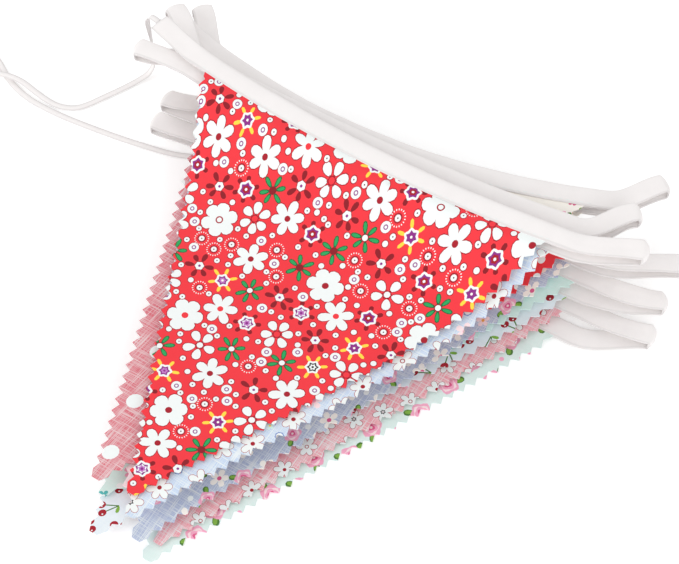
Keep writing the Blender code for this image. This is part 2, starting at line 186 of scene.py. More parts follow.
@dataclass(frozen=True)
class RibbonFinish:
    """White woven ribbon: fine ribs across it, and thin darker lines of painted shade along its edges and its fold."""

    name: str
    ink: Ink
    rib_pitch: float
    roughness: float
    sheen: float
    # edges holds where the painted shade lines run across the map, and the value after it is how much darker they are.
    edges: tuple[float, ...]
    painted_edge_shade: float = 0.13

    def material(self) -> bpy.types.Material:
        """Node material of the ribbon.

        Returns:
            The material, with ribs along the map called cut.
        """
        made = Nodes(self.name)
        uv = made.add("ShaderNodeUVMap")
        uv.uv_map = "cut"
        weave = made.weave(uv, 1000.0 / self.rib_pitch)
        soft = made.noise(uv, 120.0, 3.0, 0.5)
        relief = made.math("MULTIPLY_ADD", soft, 0.8, weave)
        made.bump(relief, 0.25, 0.00015)
        tone = made.math("MULTIPLY_ADD", soft, 0.06, 0.97)
        girth = made.add("ShaderNodeSeparateXYZ")
        made.link(uv.outputs["UV"], girth.inputs["Vector"])
        # Painted shade: a thin darker line at each place in edges, along the ribbon's edges and the tape's fold.
        for edge in self.edges:
            away = made.math("ABSOLUTE", made.math("SUBTRACT", girth.outputs["X"], edge), 0.0)
            clear = made.add("ShaderNodeMapRange")
            clear.inputs["From Min"].default_value = 0.0002
            clear.inputs["From Max"].default_value = 0.0009
            made.link(away, clear.inputs["Value"])
            line = made.math("MULTIPLY_ADD", clear.outputs["Result"], self.painted_edge_shade, 1.0 - self.painted_edge_shade)
            tone = made.math("MULTIPLY", tone, line)
        colour = made.mix("MULTIPLY", 1.0, (*self.ink.linear(), 1.0), tone)
        made.link(colour, made.shader.inputs["Base Color"])
        made.set("Roughness", self.roughness)
        made.set("Sheen Weight", self.sheen)
        made.set("Sheen Roughness", 0.5)
        made.set("Specular IOR Level", 0.25)
        return made.material


@dataclass(frozen=True)
class ThreadFinish:
    """Spun sewing thread with a light twist."""

    name: str
    ink: Ink

    def material(self) -> bpy.types.Material:
        """Node material of the thread.

        Returns:
            The material.
        """
        made = Nodes(self.name)
        place = made.add("ShaderNodeTexCoord")
        noise = made.add("ShaderNodeTexNoise")
        noise.inputs["Scale"].default_value = 4000.0
        made.link(place.outputs["Object"], noise.inputs["Vector"])
        made.bump(noise.outputs["Fac"], 0.3, 0.0001)
        tone = made.math("MULTIPLY_ADD", noise.outputs["Fac"], 0.08, 0.94)
        colour = made.mix("MULTIPLY", 1.0, (*self.ink.linear(), 1.0), tone)
        made.link(colour, made.shader.inputs["Base Color"])
        made.set("Roughness", 0.6)
        made.set("Sheen Weight", 0.1)
        return made.material


@dataclass(frozen=True)
class PaperFinish:
    """Pale matt ground under the object."""

    name: str
    colour: tuple[float, float, float]

    def material(self) -> bpy.types.Material:
        """Node material of the floor.

        Returns:
            The material.
        """
        made = Nodes(self.name)
        made.shader.inputs["Base Color"].default_value = (*self.colour, 1.0)
        made.shader.inputs["Emission Color"].default_value = (*self.colour, 1.0)
        made.set("Emission Strength", 0.16)
        made.set("Roughness", 0.95)
        made.set("Specular IOR Level", 0.1)
        return made.material


class Nodes:
    """Short calls for building one node material."""

    def __init__(self, name: str) -> None:
        """Start a material with an empty Principled shader.

        Args:
            name: The material's name.
        """
        self.material = bpy.data.materials.new(name)
        self.material.use_nodes = True
        self.tree = self.material.node_tree
        self.shader = self.tree.nodes["Principled BSDF"]

    def add(self, kind: str) -> bpy.types.Node:
        """Add one node of that kind."""
        return self.tree.nodes.new(kind)

    def link(self, source: bpy.types.NodeSocket, target: bpy.types.NodeSocket) -> None:
        """Join two sockets."""
        self.tree.links.new(source, target)

    def set(self, socket: str, value: float) -> None:
        """Set one of the shader's own values."""
        self.shader.inputs[socket].default_value = value

    def feed(self, value: object, target: bpy.types.NodeSocket) -> None:
        """Link a socket or set a constant.

        Args:
            value: A node socket, a number or a colour.
            target: The input that takes it.
        """
        if isinstance(value, bpy.types.NodeSocket):
            self.link(value, target)
        else:
            target.default_value = value

    def math(self, operation: str, a: object, b: object, c: object = None) -> bpy.types.NodeSocket:
        """Math node.

        Args:
            operation: Blender's name of the operation.
            a: First socket or number.
            b: Second socket or number.
            c: Third number, for the operations that take one.

        Returns:
            The result's socket.
        """
        node = self.add("ShaderNodeMath")
        node.operation = operation
        self.feed(a, node.inputs[0])
        self.feed(b, node.inputs[1])
        if c is not None:
            self.feed(c, node.inputs[2])
        return node.outputs[0]

    def mix(self, blend: str, factor: object, a: object, b: object) -> bpy.types.NodeSocket:
        """Mix two colours.

        Args:
            blend: The blend type.
            factor: Share of b.
            a: First colour, as a socket or four numbers.
            b: Second colour, as a socket or four numbers.

        Returns:
            The mixed colour's socket.
        """
        node = self.add("ShaderNodeMix")
        node.data_type = "RGBA"
        node.blend_type = blend
        self.feed(factor, node.inputs[0])
        self.feed(a, node.inputs[6])
        self.feed(b, node.inputs[7])
        return node.outputs[2]

    def scaled(self, uv: bpy.types.Node, scale: tuple[float, float, float]) -> bpy.types.NodeSocket:
        """The cut's map, scaled along and across.

        Args:
            uv: The map node.
            scale: Factors for the two directions, and one that isn't used.

        Returns:
            The scaled vector's socket.
        """
        node = self.add("ShaderNodeMapping")
        node.inputs["Scale"].default_value = scale
        self.link(uv.outputs["UV"], node.inputs["Vector"])
        return node.outputs["Vector"]

    def noise(self, uv: bpy.types.Node, scale: float, detail: float, rough: float) -> bpy.types.NodeSocket:
        """Soft noise on the cut's map, with the size, detail and roughness given."""
        node = self.add("ShaderNodeTexNoise")
        node.inputs["Scale"].default_value = scale
        node.inputs["Detail"].default_value = detail
        node.inputs["Roughness"].default_value = rough
        self.link(uv.outputs["UV"], node.inputs["Vector"])
        return node.outputs["Fac"]

    def streaks(self, uv: bpy.types.Node, scale: tuple[float, float, float]) -> bpy.types.NodeSocket:
        """Long pale yarns that run one way.

        Args:
            uv: The map node.
            scale: How fine the streaks are in each direction, per metre.

        Returns:
            A value from 0 to 1, near 1 on a pale yarn.
        """
        node = self.add("ShaderNodeTexNoise")
        node.inputs["Scale"].default_value = 1.0
        node.inputs["Detail"].default_value = 1.0
        self.link(self.scaled(uv, scale), node.inputs["Vector"])
        ramp = self.add("ShaderNodeMapRange")
        ramp.inputs["From Min"].default_value = 0.46
        ramp.inputs["From Max"].default_value = 0.7
        self.link(node.outputs["Fac"], ramp.inputs["Value"])
        return ramp.outputs["Result"]

    def weave(self, uv: bpy.types.Node, per_metre: float) -> bpy.types.NodeSocket:
        """Plain weave relief: threads over and under each other.

        Args:
            uv: The map node.
            per_metre: Threads in a metre of cloth.

        Returns:
            A height from 0 to 1.
        """
        waves = []
        for direction in ("X", "Y"):
            node = self.add("ShaderNodeTexWave")
            node.bands_direction = direction
            node.inputs["Scale"].default_value = per_metre / 20.0
            node.inputs["Distortion"].default_value = 0.4
            node.inputs["Detail"].default_value = 1.0
            self.link(uv.outputs["UV"], node.inputs["Vector"])
            waves.append(node.outputs["Fac"])
        return self.math("MULTIPLY", waves[0], waves[1])

    def bump(self, height: bpy.types.NodeSocket, strength: float, distance: float) -> None:
        """Give the shader relief from a height.

        Args:
            height: The height's socket.
            strength: How strong it shows.
            distance: The real height in metres.
        """
        node = self.add("ShaderNodeBump")
        node.inputs["Strength"].default_value = strength
        node.inputs["Distance"].default_value = distance
        self.link(height, node.inputs["Height"])
        self.link(node.outputs["Normal"], self.shader.inputs["Normal"])


Shape = tuple[np.ndarray, Ink]


@dataclass
class MotifBook:
    """Draws each motif as closed outlines, the lowest ink first."""

    round_points: int = 12

    def disc(self, x: float, y: float, radius: float, points: int = 0) -> np.ndarray:
        """Outline of a disc."""
        count = points or self.round_points
        angle = np.linspace(0.0, 2.0 * math.pi, count, endpoint=False) + 0.3 * x
        return np.stack([x + radius * np.cos(angle), y + radius * np.sin(angle)], axis=1)

    def lobed(self, x: float, y: float, radius: float, lobes: int, depth: float, turn: float) -> np.ndarray:
        """Outline of a disc with a waved rim.

        Args:
            x: Centre across.
            y: Centre down.
            radius: Outer radius.
            lobes: Number of waves.
            depth: Depth of a wave as a share of the radius.
            turn: Turn in radians.

        Returns:
            The outline's points.
        """
        angle = np.linspace(0.0, 2.0 * math.pi, lobes * 4, endpoint=False)
        reach = radius * (1.0 - depth * (0.5 - 0.5 * np.cos(lobes * angle)))
        return np.stack([x + reach * np.cos(angle + turn), y + reach * np.sin(angle + turn)], axis=1)

    def petal(self, x: float, y: float, turn: float, start: float, end: float, width: float,
              points: int = 10) -> np.ndarray:
        """Outline of one petal that points outwards.

        Args:
            x: Centre of the flower across.
            y: Centre of the flower down.
            turn: Direction of the petal in radians.
            start: Where it starts from the centre.
            end: Where it ends.
            width: Its greatest width.
            points: Number of points.

        Returns:
            The outline's points.
        """
        angle = np.linspace(0.0, 2.0 * math.pi, points, endpoint=False)
        along = (start + end) / 2.0 + (end - start) / 2.0 * np.cos(angle)
        aside = width / 2.0 * np.sin(angle) * (1.0 + 0.28 * np.cos(angle))
        c, s = math.cos(turn), math.sin(turn)
        return np.stack([x + along * c - aside * s, y + along * s + aside * c], axis=1)

    def petals(self, x: float, y: float, turn: float, count: int, start: float, end: float, width: float,
               ink: Ink, wobble: float = 0.0, points: int = 10, outline: float = 0.0) -> list[Shape]:
        """A ring of petals, slightly uneven if wobble is over 0, with a dark outline if it is over 0."""
        if outline:
            under = self.petals(x, y, turn, count, start - outline, end + outline, width + 2.0 * outline,
                                Ink.DEEP_RED, wobble, points)
            return under + self.petals(x, y, turn, count, start, end, width, ink, wobble, points)
        made = []
        for index in range(count):
            lean = wobble * math.sin(2.3 * index + x)
            reach = end * (1.0 + 0.6 * wobble * math.cos(1.7 * index + y))
            angle = turn + 2.0 * math.pi * index / count + lean
            made.append((self.petal(x, y, angle, start, reach, width, points), ink))
        return made

    def star(self, x: float, y: float, radius: float, inner: float, count: int, turn: float) -> np.ndarray:
        """Outline of a star with that many tips."""
        angle = np.arange(2 * count) * math.pi / count + turn
        reach = np.where(np.arange(2 * count) % 2 == 0, radius, inner)
        return np.stack([x + reach * np.cos(angle), y + reach * np.sin(angle)], axis=1)

    def draw(self, sprig: Sprig, x: float, y: float, turn: float, pick: float) -> list[Shape]:
        """All outlines of one motif.

        Args:
            sprig: The kind of motif.
            x: Its place across the flag.
            y: Its place down the flag.
            turn: Its turn in radians.
            pick: A number from 0 to 1 that chooses among its centres.

        Returns:
            Outlines with their inks, the lowest first.
        """
        return getattr(self, sprig.motif.value)(sprig, x, y, turn, pick)

    def centre(self, x: float, y: float, radius: float, pick: float) -> list[Shape]:
        """One of the small centres of a white flower."""
        if pick < 0.35:
            return [(self.disc(x, y, radius * 1.05, 10), Ink.DEEP_RED)]
        if pick < 0.55:
            return [(self.disc(x, y, radius * 1.05, 10), Ink.RED)]
        if pick < 0.8:
            return [(self.disc(x, y, radius * 1.2, 12), Ink.DEEP_RED), (self.disc(x, y, radius * 0.8, 10), Ink.WHITE)]
        return [(self.star(x, y, radius * 1.7, radius * 1.05, 6, pick * 9.0), Ink.BLACK),
                (self.disc(x, y, radius * 0.75, 8), Ink.WHITE), (self.disc(x, y, radius * 0.35, 6), Ink.DEEP_RED)]

    def broad_daisy(self, sprig: Sprig, x: float, y: float, turn: float, pick: float) -> list[Shape]:
        """Broad six-petalled flower whose petals run together."""
        r = sprig.radius
        made = self.petals(x, y, turn, 6, 0.18 * r, r, 0.7 * r, Ink.WHITE, 0.05, 12, 0.36)
        made.append((self.disc(x, y, 0.55 * r), Ink.WHITE))
        return made + self.centre(x, y, 0.18 * r, pick)

    def daisy(self, sprig: Sprig, x: float, y: float, turn: float, pick: float) -> list[Shape]:
        """Six-petalled flower with narrower petals."""
        r = sprig.radius
        made = self.petals(x, y, turn, 6, 0.08 * r, r, 0.52 * r, sprig.ink, 0.06, 12, sprig.outline)
        made.append((self.disc(x, y, 0.36 * r, 10), sprig.ink))
        return made + self.centre(x, y, 0.17 * r, pick)

    def open_daisy(self, sprig: Sprig, x: float, y: float, turn: float, pick: float) -> list[Shape]:
        """Flower of separate petals round a small open centre."""
        r = sprig.radius
        count = 6 if pick < 0.6 else 5
        made = self.petals(x, y, turn, count, 0.28 * r, r, 0.52 * r, Ink.WHITE, 0.08, 12, 0.36)
        made.append((self.star(x, y, 0.34 * r, 0.24 * r, 6, turn), Ink.DEEP_RED))
        made.append((self.disc(x, y, 0.2 * r, 8), Ink.RED if pick < 0.5 else Ink.WHITE))
        return made

    def spider(self, sprig: Sprig, x: float, y: float, turn: float, pick: float) -> list[Shape]:
        """Green flower of six thin arms with dark outlines."""
        r = sprig.radius
        made = self.petals(x, y, turn, 6, 0.16 * r, r, 0.34 * r, Ink.DARK_GREEN, 0.1)
        made += self.petals(x, y, turn, 6, 0.3 * r, 0.93 * r, 0.23 * r, Ink.GREEN, 0.1, 8)
        made.append((self.disc(x, y, 0.27 * r, 10), Ink.MAROON))
        if pick < 0.7:
            made.append((self.disc(x, y, 0.2 * r, 10), Ink.WHITE))
        return made

    def rays(self, sprig: Sprig, x: float, y: float, turn: float, pick: float) -> list[Shape]:
        """Six yellow rays round a white rosette with a star."""
        r = sprig.radius
        made = self.petals(x, y, turn, 6, 0.36 * r, r, 0.24 * r, Ink.YELLOW, 0.08, 8)
        made.append((self.lobed(x, y, 0.54 * r, 6, 0.2, turn), Ink.WHITE))
        inner = Ink.PURPLE if pick < 0.65 else Ink.BLACK
        made.append((self.star(x, y, 0.4 * r, 0.27 * r, 6, turn), inner))
        if pick > 0.35:
            made.append((self.star(x, y, 0.26 * r, 0.17 * r, 6, turn), Ink.WHITE if pick > 0.65 else Ink.MAUVE))
        made.append((self.disc(x, y, 0.09 * r, 6), Ink.CREAM if pick < 0.5 else inner))
        return made

    def burr(self, sprig: Sprig, x: float, y: float, turn: float, pick: float) -> list[Shape]:
        """Dark red flower of separate petals with a white eye."""
        r = sprig.radius
        made = self.petals(x, y, turn, 6 if pick < 0.7 else 5, 0.34 * r, r, 0.36 * r, Ink.MAROON, 0.12)
        made.append((self.disc(x, y, 0.37 * r, 10), Ink.DEEP_RED))
        made.append((self.lobed(x, y, 0.33 * r, 6, 0.14, turn), Ink.WHITE))
        made.append((self.disc(x, y, 0.1 * r, 6), Ink.PURPLE))
        return made

    def starburst(self, sprig: Sprig, x: float, y: float, turn: float, pick: float) -> list[Shape]:
        """Short dark rays round a white rosette with a purple star."""
        r = sprig.radius
        made = self.petals(x, y, turn, 6, 0.5 * r, r, 0.34 * r, Ink.MAROON, 0.1, 8)
        made.append((self.lobed(x, y, 0.66 * r, 6, 0.2, turn), Ink.WHITE))
        made.append((self.star(x, y, 0.5 * r, 0.36 * r, 6, turn), Ink.PURPLE))
        if pick < 0.5:
            made.append((self.star(x, y, 0.38 * r, 0.27 * r, 6, turn + 0.2), Ink.WHITE))
            made.append((self.star(x, y, 0.3 * r, 0.2 * r, 6, turn), Ink.MAUVE))
            made.append((self.disc(x, y, 0.12 * r, 6), Ink.PURPLE))
        else:
            made.append((self.lobed(x, y, 0.3 * r, 6, 0.2, turn), Ink.DEEP_RED))
            made.append((self.disc(x, y, 0.11 * r, 6), Ink.WHITE))
        return made

    def beaded_ring(self, sprig: Sprig, x: float, y: float, turn: float, pick: float) -> list[Shape]:
        """Ring of short white strokes round a dark ring and a white dot."""
        r = sprig.radius
        made = self.petals(x, y, turn, 18, 0.76 * r, r, 0.15 * r, Ink.WHITE, 0.0, 5)
        made.append((self.disc(x, y, 0.56 * r, 12), Ink.DEEP_RED))
        made.append((self.disc(x, y, 0.38 * r, 10), Ink.WHITE))
        made.append((self.disc(x, y, 0.1 * r, 5), Ink.BLACK))
        return made

    def ringed_dot(self, sprig: Sprig, x: float, y: float, turn: float, pick: float) -> list[Shape]:
        """White disc with a small ring in it."""
        r = sprig.radius
        return [(self.disc(x, y, r + 0.22, 14), Ink.DEEP_RED), (self.disc(x, y, r, 14), Ink.WHITE),
                (self.disc(x, y, 0.46 * r, 10), Ink.PURPLE),
                (self.disc(x, y, 0.27 * r, 8), Ink.WHITE)]

    def eye_dot(self, sprig: Sprig, x: float, y: float, turn: float, pick: float) -> list[Shape]:
        """Tiny white disc with a dark rim and a speck."""
        r = sprig.radius
        made = [(self.disc(x, y, r, 10), Ink.DEEP_RED), (self.disc(x, y, 0.78 * r, 10), Ink.WHITE)]
        if pick < 0.7:
            made.append((self.disc(x, y, 0.2 * r, 5), Ink.BLACK))
        return made

    def dot(self, sprig: Sprig, x: float, y: float, turn: float, pick: float) -> list[Shape]:
        """Plain dot."""
        return [(self.disc(x, y, sprig.radius, 14), sprig.ink)]

    def blossom(self, sprig: Sprig, x: float, y: float, turn: float, pick: float) -> list[Shape]:
        """Small five-petalled blossom."""
        r = sprig.radius
        made = self.petals(x, y, turn, 5, 0.1 * r, r, 0.62 * r, sprig.ink, 0.05, 8)
        made.append((self.disc(x, y, 0.24 * r, 8), sprig.accent))
        return made

    def blue_ring(self, sprig: Sprig, x: float, y: float, turn: float, pick: float) -> list[Shape]:
        """Coloured ring with a scalloped rim round a white field."""
        r = sprig.radius
        return [(self.lobed(x, y, r, 8, 0.12, turn), sprig.ink), (self.disc(x, y, 0.72 * r, 12), Ink.WHITE)]

    def rose(self, sprig: Sprig, x: float, y: float, turn: float, pick: float) -> list[Shape]:
        """Full rose with two leaves."""
        r = sprig.radius
        made = []
        for side in (0.6, 2.9):
            made.append((self.petal(x, y, turn + side, 0.5 * r, 1.5 * r, 0.6 * r), Ink.DARK_LEAF))
            made.append((self.petal(x, y, turn + side + 0.05, 0.6 * r, 1.4 * r, 0.36 * r, 8), Ink.LEAF))
        made.append((self.lobed(x, y, r, 5, 0.22, turn), sprig.ink))
        made.append((self.lobed(x, y, 0.76 * r, 4, 0.25, turn + 0.5), Ink.BLUSH))
        made.append((self.lobed(x, y, 0.6 * r, 4, 0.25, turn + 0.9), sprig.ink))
        made.append((self.lobed(x, y, 0.36 * r, 3, 0.3, turn + 1.5), Ink.HOT_PINK))
        made.append((self.disc(x, y, 0.14 * r, 6), Ink.BLUSH))
        return made

    def cherry(self, sprig: Sprig, x: float, y: float, turn: float, pick: float) -> list[Shape]:
        """Two berries on joined stalks with a leaf."""
        r = sprig.radius
        c, s = math.cos(turn), math.sin(turn)
        made = []
        top = (x + r * c, y + r * s)
        for side in (-1.0, 1.0):
            bx = x - 0.5 * r * c - side * 0.45 * r * s
            by = y - 0.5 * r * s + side * 0.45 * r * c
            wide = 0.06 * r
            made.append((np.array([(bx - wide * s, by + wide * c), (top[0] - wide * s, top[1] + wide * c),
                                   (top[0] + wide * s, top[1] - wide * c), (bx + wide * s, by - wide * c)]),
                         Ink.DARK_LEAF))
            made.append((self.disc(bx, by, 0.38 * r, 12), sprig.ink))
            made.append((self.disc(bx + 0.1 * r, by + 0.1 * r, 0.09 * r, 5), Ink.WHITE))
        made.append((self.petal(top[0], top[1], turn + 1.9, 0.0, 0.8 * r, 0.34 * r, 8), Ink.LEAF))
        return made

    def heart(self, sprig: Sprig, x: float, y: float, turn: float, pick: float) -> list[Shape]:
        """Small heart."""
        angle = np.linspace(0.0, 2.0 * math.pi, 16, endpoint=False)
        hx = 16.0 * np.sin(angle) ** 3
        hy = 13.0 * np.cos(angle) - 5.0 * np.cos(2 * angle) - 2.0 * np.cos(3 * angle) - np.cos(4 * angle)
        c, s = math.cos(turn), math.sin(turn)
        k = sprig.radius / 16.0
        return [(np.stack([x + k * (hx * c - hy * s), y + k * (hx * s + hy * c)], axis=1), sprig.ink)]


# The rows of a cloth's sprigs: the first group is packed first, then the smaller ones fill in.
DAISY_CLOTH = PrintedCotton(
    "daisy_cotton", Ink.RED, 0.0, gap=-0.25, limit=900, seed=11, print_end=192.0,
    sprigs=(
        Sprig(Motif.BROAD_DAISY, 8.4, 5), Sprig(Motif.DAISY, 7.9, 9, outline=0.36),
        Sprig(Motif.OPEN_DAISY, 7.4, 6), Sprig(Motif.SPIDER, 6.6, 6), Sprig(Motif.RAYS, 6.6, 5),
        Sprig(Motif.BURR, 6.5, 6), Sprig(Motif.STARBURST, 6.2, 5), Sprig(Motif.BEADED_RING, 3.6, 3),
        Sprig(Motif.RINGED_DOT, 2.35, 4), Sprig(Motif.EYE_DOT, 1.7, 13)))
CLOTHS = (
    DAISY_CLOTH,
    PrintedCotton("pale_blue_cotton", Ink.PALE_BLUE, 0.85, gap=2.2, limit=200, seed=22, print_end=184.0, sprigs=(
        Sprig(Motif.DAISY, 5.6, 3, outline=0.2), Sprig(Motif.BLUE_RING, 3.4, 4, Ink.BLUE),
        Sprig(Motif.BLOSSOM, 4.2, 1, Ink.BLUSH, Ink.PINK), Sprig(Motif.DOT, 1.3, 3),
        Sprig(Motif.BLOSSOM, 2.0, 3, Ink.MINT, Ink.YELLOW), Sprig(Motif.BLUE_RING, 2.1, 4, Ink.BLUE))),
    PrintedCotton("rose_check_cotton", Ink.ROSE_GROUND, 0.62, rows=(26.0, -11.4, 146.0), sprigs=(
        Sprig(Motif.DOT, 3.6, 1),)),
    PrintedCotton("blush_cotton", Ink.BLUSH, 0.2, gap=4.0, limit=110, seed=44, sprigs=(
        Sprig(Motif.BLOSSOM, 3.2, 2, Ink.HOT_PINK, Ink.CREAM), Sprig(Motif.BLUE_RING, 2.4, 2, Ink.BLUE),
        Sprig(Motif.DOT, 1.2, 3, Ink.DEEP_RED))),
    PrintedCotton("cream_rose_cotton", Ink.CREAM, 0.15, gap=1.4, limit=190, seed=88, sprigs=(
        Sprig(Motif.ROSE, 3.3, 3, Ink.PINK), Sprig(Motif.BLOSSOM, 2.4, 2, Ink.HOT_PINK, Ink.CREAM),
        Sprig(Motif.HEART, 1.5, 2, Ink.DEEP_RED), Sprig(Motif.DOT, 0.9, 2, Ink.LEAF))),
    PrintedCotton("cream_sprig_cotton", Ink.CREAM, 0.1, gap=4.0, limit=110, seed=55, sprigs=(
        Sprig(Motif.BLOSSOM, 4.2, 2, Ink.ORANGE, Ink.CREAM), Sprig(Motif.BLOSSOM, 3.4, 2, Ink.TEAL, Ink.CREAM),
        Sprig(Motif.DOT, 1.0, 4, Ink.DEEP_RED))),
    PrintedCotton("red_dot_cotton", Ink.RED, 0.0, rows=(7.2, 0.0, 0.0), sprigs=(
        Sprig(Motif.DOT, 1.6, 1),)),
    PrintedCotton("steel_hatch_cotton", Ink.STEEL, 0.8, gap=1.6, limit=230, seed=66, sprigs=(
        Sprig(Motif.ROSE, 4.0, 1, Ink.PINK), Sprig(Motif.BLOSSOM, 4.1, 2, Ink.CREAM, Ink.HOT_PINK),
        Sprig(Motif.BLOSSOM, 2.6, 2, Ink.YELLOW, Ink.WHITE), Sprig(Motif.CHERRY, 3.2, 1, Ink.DEEP_RED),
        Sprig(Motif.BLOSSOM, 3.0, 2, Ink.BLUSH, Ink.ORANGE), Sprig(Motif.DOT, 1.2, 3))),
    PrintedCotton("mint_dot_cotton", Ink.MINT, 0.35, gap=3.0, limit=190, seed=99, print_end=186.0, sprigs=(
        Sprig(Motif.BLOSSOM, 3.4, 1, Ink.PINK, Ink.WHITE), Sprig(Motif.BLOSSOM, 2.8, 1, Ink.TEAL, Ink.WHITE),
        Sprig(Motif.DOT, 1.4, 3))),
    PrintedCotton("cherry_cotton", Ink.SNOW, 0.5, gap=2.6, limit=170, seed=110, print_end=186.0, sprigs=(
        Sprig(Motif.CHERRY, 4.4, 2, Ink.DEEP_RED), Sprig(Motif.BLUE_RING, 2.2, 2, Ink.STEEL),
        Sprig(Motif.BLOSSOM, 2.6, 2, Ink.PALE_BLUE, Ink.WHITE), Sprig(Motif.HEART, 2.0, 1, Ink.PINK))),
    PrintedCotton("pink_hatch_cotton", Ink.PINK_GROUND, 0.9, gap=3.6, limit=140, seed=121, sprigs=(
        Sprig(Motif.DAISY, 4.6, 2, outline=0.2), Sprig(Motif.BLOSSOM, 3.0, 1, Ink.WHITE, Ink.BLACK),
        Sprig(Motif.DOT, 1.5, 3))),
    PrintedCotton("pale_mint_rose_cotton", Ink.PALE_MINT, 0.4, gap=3.6, limit=130, seed=132, sprigs=(
        Sprig(Motif.ROSE, 5.2, 3, Ink.PINK), Sprig(Motif.BLOSSOM, 2.6, 1, Ink.BLUSH, Ink.YELLOW),
        Sprig(Motif.DOT, 1.1, 2, Ink.PINK))),
)


@dataclass(frozen=True)
class FlagCut:
    """One flag's place in the pile, from its tape to its point.

    left_y and right_y are the tape's lower edge at the heading's ends, bow is how far its
    middle stands behind the line between them, puff is spare height under the heading and
    phase is where the pinking starts.
    """

    node: str
    middle_x: float
    left_y: float
    right_y: float
    bow: float
    tip_x: float
    tip_y: float
    puff: float
    phase: float

    def heading_y(self, x: np.ndarray) -> np.ndarray:
        """Lower edge of the tape at x."""
        share = (x - self.middle_x) / FLAG_WIDTH + 0.5
        return self.left_y + (self.right_y - self.left_y) * share + self.bow * 4.0 * share * (1.0 - share)

    def plan(self, flat: np.ndarray) -> np.ndarray:
        """Where points of the flat flag lie in plan.

        Args:
            flat: Points as (across the heading, down from the tape's edge).

        Returns:
            Their x and y.
        """
        across, down = flat[:, 0], flat[:, 1]
        share = down / FLAG_HEIGHT
        top_x = self.middle_x + across
        top_y = self.heading_y(top_x)
        x = np.where(down <= 0.0, top_x, top_x * (1.0 - share) + (self.tip_x + across) * share)
        y = np.where(down <= 0.0, top_y - down, top_y * (1.0 - share) + self.tip_y * share)
        return np.stack([x, y], axis=1)


FLAGS = (
    FlagCut("flag_01", 1.5, 0.0, 0.0, -6.0, 0.0, -184.0, 0.2, 0.10),
    FlagCut("flag_02", 4.5, -5.0, -1.0, -5.5, 5.0, -192.0, 0.1, 0.55),
    FlagCut("flag_03", 0.0, 4.0, 14.0, -4.0, -18.0, -185.0, 0.0, 0.30),
    FlagCut("flag_04", 3.0, 4.0, 14.0, -4.0, -5.0, -181.0, 0.0, 0.80),
    FlagCut("flag_05", 2.0, 16.0, 38.0, -13.0, 0.0, -168.0, 0.0, 0.45),
    FlagCut("flag_06", 2.0, 15.0, 37.0, -13.0, 4.0, -169.0, 0.0, 0.15),
    FlagCut("flag_07", 6.0, 6.0, 16.0, 0.0, -3.0, -181.0, 0.0, 0.65),
    FlagCut("flag_08", 9.0, -3.0, 15.0, 0.0, 10.0, -196.0, 0.0, 0.35),
    FlagCut("flag_09", 14.0, -7.0, 10.0, 0.0, -15.0, -186.0, 0.0, 0.85),
    FlagCut("flag_10", 14.0, -14.0, 4.0, 0.0, -8.0, -202.0, 0.0, 0.20),
    FlagCut("flag_11", 15.0, -14.0, -1.0, 0.0, 17.0, -191.0, 0.0, 0.70),
    FlagCut("flag_12", 17.0, -18.0, -12.0, 0.0, 17.0, -199.0, 0.0, 0.40),
)


@dataclass
class Layer:
    """Heights of one flag and of its tape run over the plan."""

    cut: FlagCut
    base: float
    rise: float
    surface: np.ndarray
    half: np.ndarray

    def run_height(self, x: np.ndarray) -> np.ndarray:
        """Height of the heading and of the tape at x."""
        return self.base + self.rise * x


